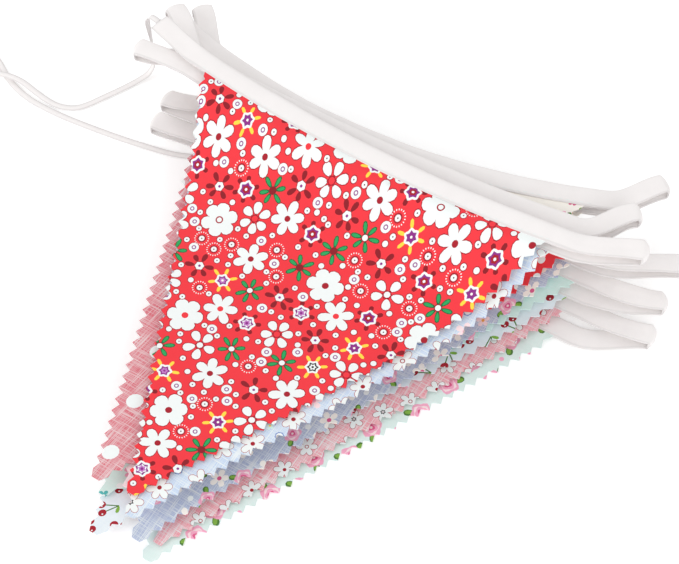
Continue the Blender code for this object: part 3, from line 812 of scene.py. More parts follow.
@dataclass
class Pile:
    """Lays every flag over those below it, lowest first."""

    cloth: float = 1.0
    tape_half: float = 1.82
    gap: float = 0.3
    field_slack: float = 0.26
    fall_slack: float = 0.3
    fall_slope: float = 0.95
    heading_rise: float = 0.022
    least_rise: float = 3.3
    overhang: float = 30.0
    step_x: float = 6.0
    step_y: float = 5.0
    smoothing: int = 12
    x_low: float = -120.0
    x_high: float = 132.0
    y_low: float = -216.0
    y_high: float = 44.0
    layers: list[Layer] = field(default_factory=list)

    def lay(self, cuts: tuple[FlagCut, ...]) -> None:
        """Work out the heights of all layers, kept top first.

        Args:
            cuts: The flags from the top of the pile to the bottom.
        """
        xs = np.arange(self.x_low, self.x_high + 0.1, self.step_x)
        ys = np.arange(self.y_low, self.y_high + 0.1, self.step_y)
        grid_x, grid_y = np.meshgrid(xs, ys, indexing="ij")
        laid: list[Layer] = []
        for level, cut in enumerate(reversed(cuts)):
            laid.append(self.lay_one(level, len(cuts), cut, laid, grid_x, grid_y, xs, ys))
        self.layers = laid[::-1]

    def lay_one(self, level: int, count: int, cut: FlagCut, laid: list[Layer], grid_x: np.ndarray,
                grid_y: np.ndarray, xs: np.ndarray, ys: np.ndarray) -> Layer:
        """Lay one flag over the ones already laid.

        Args:
            level: How many flags lie below it.
            count: How many flags there are.
            cut: The flag.
            laid: The layers below, lowest first.
            grid_x: Plan positions across.
            grid_y: Plan positions down.
            xs: The grid's columns.
            ys: The grid's rows.

        Returns:
            The new layer.
        """
        rise = self.heading_rise * level / (count - 1)
        edge = cut.heading_y(grid_x)
        run_need = np.full(grid_x.shape, self.tape_half)
        cloth_need = np.full(grid_x.shape, self.cloth / 2.0)
        slack = self.field_slack + self.fall_slack * np.clip((grid_y + 70.0) / 50.0, 0.0, 1.0)
        for below in laid:
            over_tape = below.run_height(grid_x) + self.tape_half
            cloth_top = below.surface + below.half
            on_cloth = self.cloth_zone(below.cut, grid_x, grid_y)
            beside = np.abs(edge - below.cut.heading_y(grid_x)) < TAPE_WIDTH + 1.0
            run_floor = over_tape + self.gap + self.tape_half
            run_need = np.where(beside, np.maximum(run_need, run_floor), run_need)
            run_floor = cloth_top + self.gap + self.tape_half
            run_need = np.where(on_cloth, np.maximum(run_need, run_floor), run_need)
            floor = over_tape + 2.0 * self.gap + self.cloth / 2.0
            cloth_need = np.where(self.run_zone(below.cut, grid_x, grid_y), np.maximum(cloth_need, floor), cloth_need)
            floor = cloth_top + self.gap + slack + self.cloth / 2.0
            cloth_need = np.where(on_cloth, np.maximum(cloth_need, floor), cloth_need)
        in_run = (grid_y > edge - 3.0) & (grid_y < edge + TAPE_WIDTH + 3.0)
        base = float(np.max((run_need - rise * grid_x)[in_run])) + cut.puff
        base = max(base, laid[-1].base + self.least_rise) if laid else self.tape_half
        height = base + rise * grid_x
        down = edge - grid_y
        need = cloth_need
        if level:
            wave = np.sin(grid_x / (21.0 + 2.0 * (level % 4)) + 1.7 * level)
            wave = wave * np.cos(grid_y / (27.0 - 2.0 * (level % 3)) + 0.9 * level)
            need = need + 0.11 * (1.0 + wave) * np.clip((down - 20.0) / 25.0, 0.0, 1.0)
        fall = height - self.fall_slope * np.maximum(down - 2.0, 0.0)
        floor = np.minimum(np.maximum(need, fall), np.maximum(height, need))
        fixed = down < 2.0
        surface = np.where(fixed, height, floor)
        for _ in range(self.smoothing):
            padded = np.pad(surface, 1, mode="edge")
            mean = (padded[:-2, 1:-1] + padded[2:, 1:-1] + padded[1:-1, :-2] + padded[1:-1, 2:]) / 4.0
            mean = mean if level else surface
            surface = np.where(fixed, height, np.maximum(floor, mean))
        slope_x = np.gradient(surface, xs, axis=0)
        slope_y = np.gradient(surface, ys, axis=1)
        half = self.cloth / 2.0 * np.sqrt(1.0 + slope_x ** 2 + slope_y ** 2)
        return Layer(cut, base, rise, surface, half)

    def run_zone(self, cut: FlagCut, grid_x: np.ndarray, grid_y: np.ndarray) -> np.ndarray:
        """Where a flag's tape lies, with a margin."""
        edge = cut.heading_y(grid_x)
        inside_y = (grid_y > edge - self.step_y - 1.2) & (grid_y < edge + TAPE_WIDTH + self.step_y + 1.0)
        return inside_y & (np.abs(grid_x - cut.middle_x) < RUN_HALF_LENGTH + self.step_x + 2.0)

    def cloth_zone(self, cut: FlagCut, grid_x: np.ndarray, grid_y: np.ndarray) -> np.ndarray:
        """Where a flag's cloth lies below its tape, with a margin."""
        edge = cut.heading_y(grid_x)
        share = np.clip((edge - grid_y) / (edge - cut.tip_y), 0.0, 1.0)
        middle = cut.middle_x * (1.0 - share) + cut.tip_x * share
        width = FLAG_WIDTH / 2.0 * (1.0 - share) + self.overhang
        reach = (edge - grid_y > -1.0) & (grid_y > cut.tip_y - self.overhang)
        return reach & (np.abs(grid_x - middle) < width)

    def sample(self, layer: Layer, x: np.ndarray, y: np.ndarray) -> np.ndarray:
        """Height of a layer's cloth, smoothed between the grid's points.

        Args:
            layer: The layer.
            x: Plan positions across.
            y: Plan positions down.

        Returns:
            The heights of its middle surface.
        """
        u = (x - self.x_low) / self.step_x
        v = (y - self.y_low) / self.step_y
        i = np.floor(u).astype(int)
        j = np.floor(v).astype(int)
        total = np.zeros(x.shape)
        for a, weight_a in enumerate(spline_weights(u - i)):
            row = np.clip(i + a - 1, 0, layer.surface.shape[0] - 1)
            for b, weight_b in enumerate(spline_weights(v - j)):
                column = np.clip(j + b - 1, 0, layer.surface.shape[1] - 1)
                total += weight_a * weight_b * layer.surface[row, column]
        return total


def spline_weights(t: np.ndarray) -> tuple[np.ndarray, np.ndarray, np.ndarray, np.ndarray]:
    """Weights of the four neighbours in a smooth cubic.

    Args:
        t: Position between the second and third neighbour, from 0 to 1.

    Returns:
        The four weights.
    """
    return ((1.0 - t) ** 3 / 6.0, (3.0 * t ** 3 - 6.0 * t ** 2 + 4.0) / 6.0,
            (-3.0 * t ** 3 + 3.0 * t ** 2 + 3.0 * t + 1.0) / 6.0, t ** 3 / 6.0)


def smooth_step(t: np.ndarray) -> np.ndarray:
    """Eased share from 0 to 1."""
    t = np.clip(t, 0.0, 1.0)
    return t * t * (3.0 - 2.0 * t)


def make_object(name: str, points: np.ndarray, faces: np.ndarray, material: bpy.types.Material,
                uv: np.ndarray | None = None, colours: np.ndarray | None = None,
                sharp: np.ndarray | None = None) -> bpy.types.Object:
    """Object from plan points in millimetres.

    Args:
        name: The piece's name.
        points: Vertices before the shift to the shared frame.
        faces: Triangles or quads as rows of vertex numbers.
        material: Its material.
        uv: One map position for each vertex, in metres of cloth.
        colours: One colour for each face.
        sharp: Pairs of vertices whose edge is hard.

    Returns:
        The linked object.
    """
    mesh = bpy.data.meshes.new(name)
    mesh.from_pydata(((points + SHIFT) * MM).tolist(), [], faces.tolist())
    size = faces.shape[1]
    if uv is not None:
        layer = mesh.uv_layers.new(name="cut")
        layer.data.foreach_set("uv", uv[faces.ravel()].ravel().astype(np.float32))
    if colours is not None:
        layer = mesh.color_attributes.new("print", "FLOAT_COLOR", "CORNER")
        layer.data.foreach_set("color", np.repeat(colours, size, axis=0).ravel().astype(np.float32))
    mesh.polygons.foreach_set("use_smooth", np.ones(len(faces), dtype=bool))
    if sharp is not None:
        wanted = {tuple(sorted(pair)) for pair in sharp.tolist()}
        keys = np.zeros(len(mesh.edges) * 2, dtype=np.int32)
        mesh.edges.foreach_get("vertices", keys)
        hard = [tuple(sorted(pair)) in wanted for pair in keys.reshape(-1, 2).tolist()]
        mesh.edges.foreach_set("use_edge_sharp", np.array(hard, dtype=bool))
    mesh.materials.append(material)
    mesh.update()
    thing = bpy.data.objects.new(name, mesh)
    bpy.context.scene.collection.objects.link(thing)
    return thing


@dataclass
class Flag:
    """One printed flag, pinked down both sides and laid on the pile."""

    cut: FlagCut
    cloth: PrintedCotton
    layer: Layer
    pile: Pile
    thickness: float = 0.56
    tooth_count: int = 35
    tooth_depth: float = 2.75
    edge_inset: float = 2.0
    tip_half: float = 2.4
    grid: float = 3.6

    def outline(self) -> np.ndarray:
        """Pinked outline of the flat flag, as (across, down), anticlockwise in plan.

        Returns:
            The outline's points.
        """
        half = FLAG_WIDTH / 2.0
        length = math.hypot(half, FLAG_HEIGHT)
        pitch = length / self.tooth_count
        side = []
        for index in range(self.tooth_count):
            for kind, offset in (("outer", 0.25), ("valley", 0.75)):
                share = (index + offset + 0.4 * self.cut.phase) * pitch / length
                if share > 0.985:
                    continue
                width = half * (1.0 - share) + self.tip_half * share
                depth = min(self.tooth_depth, 0.42 * width)
                across, down = width, FLAG_HEIGHT * share
                if kind == "valley":
                    across -= depth * FLAG_HEIGHT / length
                    down -= depth * half / length
                if down > 2.6:
                    side.append((across, down))
        corner = half - self.edge_inset
        grow = half * HEADING_DEPTH / FLAG_HEIGHT
        right = [(corner + grow, -HEADING_DEPTH), (corner, 0.0), (corner - 0.8, 2.0)] + side
        left = [(-across, down) for across, down in right]
        top = [(corner * (1.0 - index / 8.0), -HEADING_DEPTH) for index in range(1, 16)]
        tip = [(-0.8 * self.tip_half, FLAG_HEIGHT), (0.8 * self.tip_half, FLAG_HEIGHT)]
        return np.array(tip + right[::-1] + top + left)

    def scatter(self) -> list[Shape]:
        """Pack the print's motifs over the whole cut, the large ones first.

        Returns:
            Outlines with their inks, the lowest first.
        """
        book = MotifBook()
        rng = np.random.default_rng(self.cloth.seed)
        placed = np.zeros((0, 4))
        shapes: list[Shape] = []
        if self.cloth.rows:
            return self.in_rows(book)
        for small in (False, True):
            bag = [s for s in self.cloth.sprigs for _ in range(s.share) if (s.radius < 4.0) == small]
            misses = 0
            order = 0
            while bag and misses < 14 and len(placed) < self.cloth.limit:
                if order % len(bag) == 0:
                    rng.shuffle(bag)
                sprig = bag[order % len(bag)]
                order += 1
                kind = self.cloth.sprigs.index(sprig)
                tries = rng.uniform((-100.0, -14.0), (100.0, 192.0), (900, 2))
                inside = np.abs(tries[:, 0]) < (1.0 - tries[:, 1] / FLAG_HEIGHT) * 92.0 + sprig.radius
                inside &= tries[:, 1] < self.cloth.print_end
                tries = tries[inside]
                if len(placed):
                    away = np.hypot(tries[:, None, 0] - placed[None, :, 0], tries[:, None, 1] - placed[None, :, 1])
                    spare = (away - placed[None, :, 2] - sprig.radius - self.cloth.gap).min(axis=1)
                    if not np.any(spare > 0.0):
                        misses += 1
                        continue
                    alike = placed[:, 3] == kind
                    apart = np.min(np.where(alike[None, :], away, 60.0), axis=1)
                    best = int(np.argmin(np.where(spare > 0.0, spare - 0.3 * np.minimum(apart, 48.0), 1e6)))
                else:
                    best = 0
                x, y = tries[best]
                placed = np.vstack([placed, (x, y, sprig.radius, kind)])
                shapes += book.draw(sprig, float(x), float(y), float(rng.uniform(0.0, 6.283)), float(rng.random()))
        return shapes

    def in_rows(self, book: MotifBook) -> list[Shape]:
        """Set the print's first motif in even rows that lean a little.

        Args:
            book: The book that draws it.

        Returns:
            Outlines with their inks.
        """
        step, first_across, first_down = self.cloth.rows
        sprig = self.cloth.sprigs[0]
        reach = int(200.0 / step)
        shapes: list[Shape] = []
        for row in range(-reach, reach + 1):
            down = first_down + row * step * 0.96
            half = FLAG_WIDTH / 2.0 * (1.0 - down / FLAG_HEIGHT)
            for place in range(-reach, reach + 1):
                across = first_across + row * step * 0.32 + place * step
                if -12.0 < down < FLAG_HEIGHT - 6.0 and abs(across) < half + sprig.radius:
                    shapes += book.draw(sprig, across, down, 0.0, 0.0)
        return shapes

    def grid_points(self) -> np.ndarray:
        """Staggered points that let the cloth bend between the motifs."""
        points = []
        rows = np.arange(-6.0, FLAG_HEIGHT - 3.0, self.grid * 0.87)
        for index, down in enumerate(rows):
            reach = FLAG_WIDTH / 2.0 * (1.0 - down / FLAG_HEIGHT) - 3.4
            start = self.grid / 2.0 if index % 2 else 0.0
            count = int(max(reach - start, 0.0) // self.grid)
            for place in range(-count, count + 1):
                points.append((place * self.grid + (start if place >= 0 else -start), down))
        return np.array(points)

    def heights(self, flat: np.ndarray, plan: np.ndarray) -> np.ndarray:
        """Height of the flag's middle surface.

        Args:
            flat: Points on the flat flag.
            plan: The same points in plan.

        Returns:
            Their heights.
        """
        run = self.layer.run_height(plan[:, 0])
        field_z = self.pile.sample(self.layer, plan[:, 0], plan[:, 1])
        share = smooth_step((flat[:, 1] - 1.5) / 7.0)
        ripple = 0.06 * np.sin(flat[:, 0] / 7.1 + self.cut.phase * 9.0) * np.sin(flat[:, 1] / 9.3)
        return run * (1.0 - share) + (field_z + ripple) * share

    def build(self) -> bpy.types.Object:
        """Cut, print and lay the flag.

        Returns:
            The finished piece.
        """
        outline = self.outline()
        shapes = self.scatter()
        verts: list[Vector] = []
        faces: list[list[int]] = []
        inks: list[Ink] = []
        for points, ink in [(outline, self.cloth.ground)] + shapes:
            turned = np.roll(points, -1, axis=0)
            if np.sum(points[:, 0] * turned[:, 1] - points[:, 1] * turned[:, 0]) < 0.0:
                points = points[::-1]
            start = len(verts)
            verts += [Vector(point) for point in points]
            faces.append(list(range(start, len(verts))))
            inks.append(ink)
        verts += [Vector(point) for point in self.grid_points()]
        result = delaunay_2d_cdt(verts, [], faces, 1, 1e-4)
        flat = np.array([tuple(point) for point in result[0]])
        kept = [(face, max(source)) for face, source in zip(result[2], result[5]) if 0 in source]
        tris = np.array([face for face, _ in kept])
        ink_of = np.array([index for _, index in kept])
        a, b, c = flat[tris[:, 0]], flat[tris[:, 1]], flat[tris[:, 2]]
        area = (b[:, 0] - a[:, 0]) * (c[:, 1] - a[:, 1]) - (b[:, 1] - a[:, 1]) * (c[:, 0] - a[:, 0])
        solid = np.abs(area) > 1e-7
        tris, ink_of, area = tris[solid], ink_of[solid], area[solid]
        # down grows towards the point, so a positive area in the flat cut is clockwise in plan
        tris = np.where((area > 0.0)[:, None], tris[:, ::-1], tris)
        used, tris = np.unique(tris, return_inverse=True)
        tris = tris.reshape(-1, 3)
        flat = flat[used]
        plan = self.cut.plan(flat)
        z = self.heights(flat, plan)
        count = len(flat)
        top = np.column_stack([plan, z + self.thickness / 2.0])
        bottom = np.column_stack([plan, np.maximum(z - self.thickness / 2.0, 0.02)])
        pairs = np.concatenate([tris[:, (0, 1)], tris[:, (1, 2)], tris[:, (2, 0)]])
        owner = np.tile(np.arange(len(tris)), 3)
        code = pairs[:, 0] * count + pairs[:, 1]
        mirror = pairs[:, 1] * count + pairs[:, 0]
        rim = ~np.isin(code, mirror)
        rim_pairs, rim_owner = pairs[rim], owner[rim]
        wall_a = np.column_stack([rim_pairs[:, 0] + count, rim_pairs[:, 1] + count, rim_pairs[:, 1]])
        wall_b = np.column_stack([rim_pairs[:, 0] + count, rim_pairs[:, 1], rim_pairs[:, 0]])
        all_faces = np.concatenate([tris, tris[:, ::-1] + count, wall_a, wall_b])
        all_inks = np.concatenate([ink_of, ink_of, ink_of[rim_owner], ink_of[rim_owner]])
        table = np.array([(*ink.linear(), 1.0 if index == 0 else 0.0) for index, ink in enumerate(inks)])
        sharp = np.concatenate([rim_pairs, rim_pairs + count])
        uv = np.concatenate([flat, flat]) * MM
        piece = make_object("cloth_" + self.cut.node[-2:], np.concatenate([top, bottom]), all_faces,
                            self.cloth.material(), uv, table[all_inks], sharp)
        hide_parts(self.cut.node)
        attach(piece, BODY)
        return piece


@dataclass(frozen=True)
class Turn:
    """A turn of the tape between two headings, with the direction outwards in degrees."""

    upper: int
    end_x: float
    end_y: float
    yaw: float
    lift: float
    radius: float


TURNS = (
    Turn(1, 131.0, 19.0, 24.0, 0.6, 2.6),
    Turn(2, -127.0, -2.0, 190.0, 0.0, 2.4),
    Turn(3, 116.7, 42.4, 38.0, 0.0, 2.4),
    Turn(4, -130.5, 33.0, 156.0, 0.0, 2.3),
    Turn(5, 117.2, 69.0, 48.0, 0.0, 2.4),
    Turn(6, -124.0, 46.0, 144.0, 0.0, 2.3),
    Turn(7, 146.3, 41.8, 26.0, 0.0, 2.3),
    Turn(8, -110.5, -5.0, 184.0, 0.0, 2.3),
    Turn(9, 143.1, 23.8, 28.0, 0.0, 2.2),
    Turn(10, -111.5, -14.0, 188.0, 0.0, 2.3),
    Turn(11, 145.6, 9.7, 20.0, 0.5, 2.4),
)


@dataclass
class Station:
    """One place along the tape.

    pressed is 0 where the tape holds a flag and 1 where it is folded flat on itself. pull is
    how far its two edges draw back where it bends.
    """

    centre: np.ndarray
    across: np.ndarray
    pressed: float
    pull: np.ndarray = field(default_factory=lambda: np.zeros(3))


@dataclass
class FoldedTape:
    """The white tape, folded lengthwise over the headings and back and forth over the pile."""

    pile: Pile
    finish: RibbonFinish
    wall: float = 0.3
    lead_end: tuple[float, float] = (-123.6, 13.6)
    lead_yaw: float = 166.0
    lead_drop: float = 0.8
    run_steps: int = 36
    leg_steps: int = 22
    bend_steps: int = 10
    taper: float = 9.0
    rounding: float = 1.9
    stations: list[Station] = field(default_factory=list)
    run_starts: list[tuple[int, int]] = field(default_factory=list)

    def run_point(self, layer: Layer, x: float) -> tuple[np.ndarray, float]:
        """Centre of a run at x and its direction there in radians."""
        cut = layer.cut
        slope = float(cut.heading_y(np.float64(x + 1.0)) - cut.heading_y(np.float64(x - 1.0))) / 2.0
        y = float(cut.heading_y(np.float64(x))) + TAPE_WIDTH / 2.0 * math.sqrt(1.0 + slope * slope)
        return np.array([x, y, float(layer.run_height(x))]), math.atan(slope)

    def run_end(self, layer: Layer, side: int) -> tuple[np.ndarray, float]:
        """Centre of a run at one end and its direction outwards."""
        centre, yaw = self.run_point(layer, layer.cut.middle_x + side * RUN_HALF_LENGTH)
        return centre, yaw if side > 0 else yaw + math.pi

    def leg(self, start: np.ndarray, start_yaw: float, end: np.ndarray, yaw: float, end_z: float,
            side: int) -> list[Station]:
        """Stations from the end of a run out to a bend.

        Args:
            start: End of the run.
            start_yaw: Direction there, in radians.
            end: Start of the bend in plan.
            yaw: Direction there, in radians.
            end_z: Height there.
            side: 1 at the right and -1 at the left.

        Returns:
            The stations, without the first.
        """
        reach = float(np.linalg.norm(end - start[:2]))
        pull_a = np.array([math.cos(start_yaw), math.sin(start_yaw)]) * reach
        pull_b = np.array([math.cos(yaw), math.sin(yaw)]) * reach
        made = []
        for index in range(1, self.leg_steps + 1):
            s = index / self.leg_steps
            flat = (start[:2] * (2 * s ** 3 - 3 * s ** 2 + 1) + pull_a * (s ** 3 - 2 * s ** 2 + s)
                    + end * (-2 * s ** 3 + 3 * s ** 2) + pull_b * (s ** 3 - s ** 2))
            slope = ((start[:2] - end) * (6 * s ** 2 - 6 * s) + pull_a * (3 * s ** 2 - 4 * s + 1)
                     + pull_b * (3 * s ** 2 - 2 * s))
            heading = math.atan2(slope[1], slope[0])
            blend = float(smooth_step(np.float64(s)))
            z = start[2] * (1.0 - blend) + end_z * blend
            pressed = float(smooth_step(np.float64(s * reach / self.taper)))
            made.append(Station(np.array([flat[0], flat[1], z]), self.across(heading, side), pressed))
        return made

    def across(self, heading: float, side: int) -> np.ndarray:
        """Level direction across the tape, towards its fold."""
        return side * np.array([-math.sin(heading), math.cos(heading), 0.0])

    def walk(self) -> None:
        """Lay out the whole tape from its free end to its last end."""
        layers = self.pile.layers
        first, first_yaw = self.run_end(layers[0], -1)
        lead = self.leg(first, first_yaw, np.array(self.lead_end), math.radians(self.lead_yaw),
                        first[2] - self.lead_drop, -1)
        self.stations = lead[::-1]
        side = 1
        for index, layer in enumerate(layers):
            self.run_starts.append((len(self.stations), side))
            for step in range(self.run_steps + 1):
                share = 2.0 * step / self.run_steps - 1.0
                centre, yaw = self.run_point(layer, layer.cut.middle_x + side * share * RUN_HALF_LENGTH)
                self.stations.append(Station(centre, self.across(yaw, 1), 0.0))
            if index + 1 == len(layers):
                break
            self.turn_back(layer, layers[index + 1], TURNS[index], side)
            side = -side

    def turn_back(self, layer: Layer, following: Layer, turn: Turn, side: int) -> None:
        """Add the two legs and the bend between two runs.

        Args:
            layer: The run above.
            following: The run below.
            turn: Where the tape bends back.
            side: 1 at the right and -1 at the left.
        """
        end, end_yaw = self.run_end(layer, side)
        back_end, back_yaw = self.run_end(following, side)
        middle = (end[2] + back_end[2]) / 2.0 + turn.lift
        yaw = math.radians(turn.yaw)
        outward = np.array([math.cos(yaw), math.sin(yaw), 0.0])
        centre = np.array([turn.end_x, turn.end_y, middle]) - outward * turn.radius
        out = self.leg(end, end_yaw, centre[:2], yaw, middle + turn.radius, side)
        back = self.leg(back_end, back_yaw, centre[:2], yaw, middle - turn.radius, side)
        self.stations += out
        for step in range(1, self.bend_steps):
            angle = math.pi * step / self.bend_steps
            point = centre + outward * (turn.radius * math.sin(angle))
            point = point + np.array([0.0, 0.0, turn.radius * math.cos(angle)])
            pull = outward * (-self.rounding * math.sin(angle))
            self.stations.append(Station(point, self.across(yaw, side), 1.0, pull))
        self.stations += back[::-1]

    def profile(self, pressed: float) -> np.ndarray:
        """Section of the folded tape, open towards the flag, as (towards the fold, up).

        Args:
            pressed: How far it is folded flat.

        Returns:
            A closed loop of points, the outside first.
        """
        places = np.array([-5.0, -4.7, -3.4, -1.2, 1.2, 3.2, 4.4, 4.85, 5.0])
        holding = np.array([0.60, 0.66, 0.72, 0.88, 1.02, 1.00, 0.80, 0.48, 0.0])
        flat = np.array([0.36, 0.42, 0.46, 0.50, 0.56, 0.58, 0.50, 0.34, 0.0])
        up = holding * (1.0 - pressed) + flat * pressed
        inner_places = np.array([-5.0, -3.4, -1.2, 1.2, 3.2, 4.3])
        inner_up = np.interp(inner_places, places, up) - self.wall
        inner_up[-1] = 0.0
        outer = np.concatenate([np.stack([places, -up], 1), np.stack([places, up], 1)[-2::-1]])
        inner = np.concatenate([np.stack([inner_places, inner_up], 1), np.stack([inner_places, -inner_up], 1)[-2::-1]])
        return np.concatenate([outer, inner])

    def unevenness(self, along: float, pressed: float, place: np.ndarray) -> np.ndarray:
        """How far the soft tape stands off its even course.

        Args:
            along: Distance along the tape.
            pressed: 1 where it is folded on itself and free to twist, 0 on a flag.
            place: Places across it, from -1 at the open edges to 1 at the fold.

        Returns:
            The heights at those places.
        """
        twist = math.sin(along / 9.7) + 0.6 * math.sin(along / 4.1 + 1.3)
        lift = math.sin(along / 13.3 + 0.7)
        crease = math.sin(along / 6.1 + 2.0)
        free = 0.22 + 0.33 * pressed
        return free * (0.6 * twist * place + 0.35 * lift) + 0.16 * crease * np.cos(3.0 * place) * pressed

    def frames(self) -> tuple[np.ndarray, np.ndarray, np.ndarray, np.ndarray]:
        """Centres, level directions, upward directions and distances of all stations."""
        centres = np.array([s.centre for s in self.stations])
        ahead = np.vstack([centres[1:], centres[-1:]]) - np.vstack([centres[:1], centres[:-1]])
        ahead /= np.linalg.norm(ahead, axis=1)[:, None]
        across = np.array([s.across for s in self.stations])
        across = across - ahead * np.sum(ahead * across, axis=1)[:, None]
        across /= np.linalg.norm(across, axis=1)[:, None]
        up = np.cross(ahead, across)
        along = np.concatenate([[0.0], np.cumsum(np.linalg.norm(np.diff(centres, axis=0), axis=1))])
        return centres, across, up, along

    def build(self) -> bpy.types.Object:
        """Sweep the tape.

        Returns:
            The finished piece.
        """
        self.walk()
        centres, across, up, along = self.frames()
        rings = []
        maps = []
        for index, station in enumerate(self.stations):
            loop = self.profile(station.pressed)
            place = loop[:, :1] / 5.0
            height = loop[:, 1:] + self.unevenness(along[index], station.pressed, place)
            offset = loop[:, :1] * across[index] + height * up[index] + np.abs(place) ** 3 * station.pull
            rings.append(centres[index] + offset)
            girth = np.concatenate([[0.0], np.cumsum(np.linalg.norm(np.diff(loop, axis=0), axis=1))])
            maps.append(np.column_stack([girth, np.full(len(loop), along[index])]) * MM)
        points = np.concatenate(rings)
        size = len(rings[0])
        faces = []
        for index in range(len(rings) - 1):
            here = index * size
            for place in range(size):
                after = (place + 1) % size
                faces.append((here + place, here + after, here + size + after, here + size + place))
        faces = np.array(faces)
        name = "folded_tape"
        piece = make_object(name, points, faces, self.finish.material(), np.concatenate(maps))
        self.close_ends(piece, size, len(rings))
        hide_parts("tape")
        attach(piece, BODY)
        LOG.info("tape: %.0f mm long", along[-1])
        return piece

    def on_run(self, frames: tuple[np.ndarray, ...], run: int, x: float) -> tuple:
        """Frame of the tape where a run passes x.

        Args:
            frames: What the method frames returns.
            run: Number of the run, 0 at the top.
            x: Place across the pile.

        Returns:
            Its centre, direction across, direction up and distance along the tape.
        """
        start, side = self.run_starts[run]
        share = side * (x - self.pile.layers[run].cut.middle_x) / RUN_HALF_LENGTH
        place = start + (share + 1.0) / 2.0 * self.run_steps
        index = int(place)
        rest = place - index
        return tuple(part[index] * (1.0 - rest) + part[index + 1] * rest for part in frames)

    def close_ends(self, piece: bpy.types.Object, size: int, count: int) -> None:
        """Close the tape's two cut ends.

        Args:
            piece: The swept tape.
            size: Points in a section.
            count: Number of sections.
        """
        import bmesh
        mesh = bmesh.new()
        mesh.from_mesh(piece.data)
        mesh.verts.ensure_lookup_table()
        outer = 17
        for start in (0, (count - 1) * size):
            ring = [mesh.verts[start + index] for index in range(size)]
            inner = ring[outer:][::-1]
            pairs = np.linspace(0, len(inner) - 1, outer).round().astype(int)
            for place in range(outer - 1):
                a, b = ring[place], ring[place + 1]
                c, d = inner[pairs[place + 1]], inner[pairs[place]]
                corners = [a, b, c, d] if c is not d else [a, b, c]
                if start:
                    corners.reverse()
                mesh.faces.new(corners)
        bmesh.ops.recalc_face_normals(mesh, faces=list(mesh.faces))
        mesh.to_mesh(piece.data)
        mesh.free()


@dataclass
class Stitching:
    """Running stitches that hold the tape on the headings, on both faces."""

    tape: FoldedTape
    finish: ThreadFinish
    pitch: float = 3.0
    length: float = 2.1
    thickness: float = 0.34
    from_edge: float = 1.5

    def build(self) -> bpy.types.Object:
        """Lay the stitches along every run.

        Returns:
            The finished piece.
        """
        place = -TAPE_WIDTH / 2.0 + self.from_edge
        profile = self.tape.profile(0.0)
        lift = float(np.interp(place, profile[:9, 0], -profile[:9, 1]))
        points = []
        faces = []
        rim = np.linspace(0.0, 2.0 * math.pi, 6, endpoint=False)
        frames = self.tape.frames()
        for run, layer in enumerate(self.tape.pile.layers):
            left = layer.cut.middle_x - RUN_HALF_LENGTH + 4.0
            count = int((2.0 * RUN_HALF_LENGTH - 8.0) / self.pitch)
            for index in range(count):
                x = left + (index + 0.5) * self.pitch
                centre, across, up, distance = self.tape.on_run(frames, run, x)
                ahead = np.cross(across, up)
                uneven = self.tape.unevenness(distance, 0.0, place / 5.0)
                for side in (1.0, -1.0):
                    middle = centre + across * place + up * (side * (lift + 0.02) + uneven)
                    start = len(points)
                    for share, girth in ((-0.5, 0.35), (-0.22, 1.0), (0.22, 1.0), (0.5, 0.35)):
                        for angle in rim:
                            ring = across * math.cos(angle) + up * (0.6 * math.sin(angle))
                            points.append(middle + ahead * self.length * share + ring * self.thickness * 0.5 * girth)
                    for ring in range(3):
                        for corner in range(6):
                            after = (corner + 1) % 6
                            a = start + ring * 6
                            faces.append((a + corner, a + after, a + 6 + after, a + 6 + corner))
        piece = make_object("tape_stitching", np.array(points), np.array(faces), self.finish.material())
        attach(piece, BODY)
        return piece


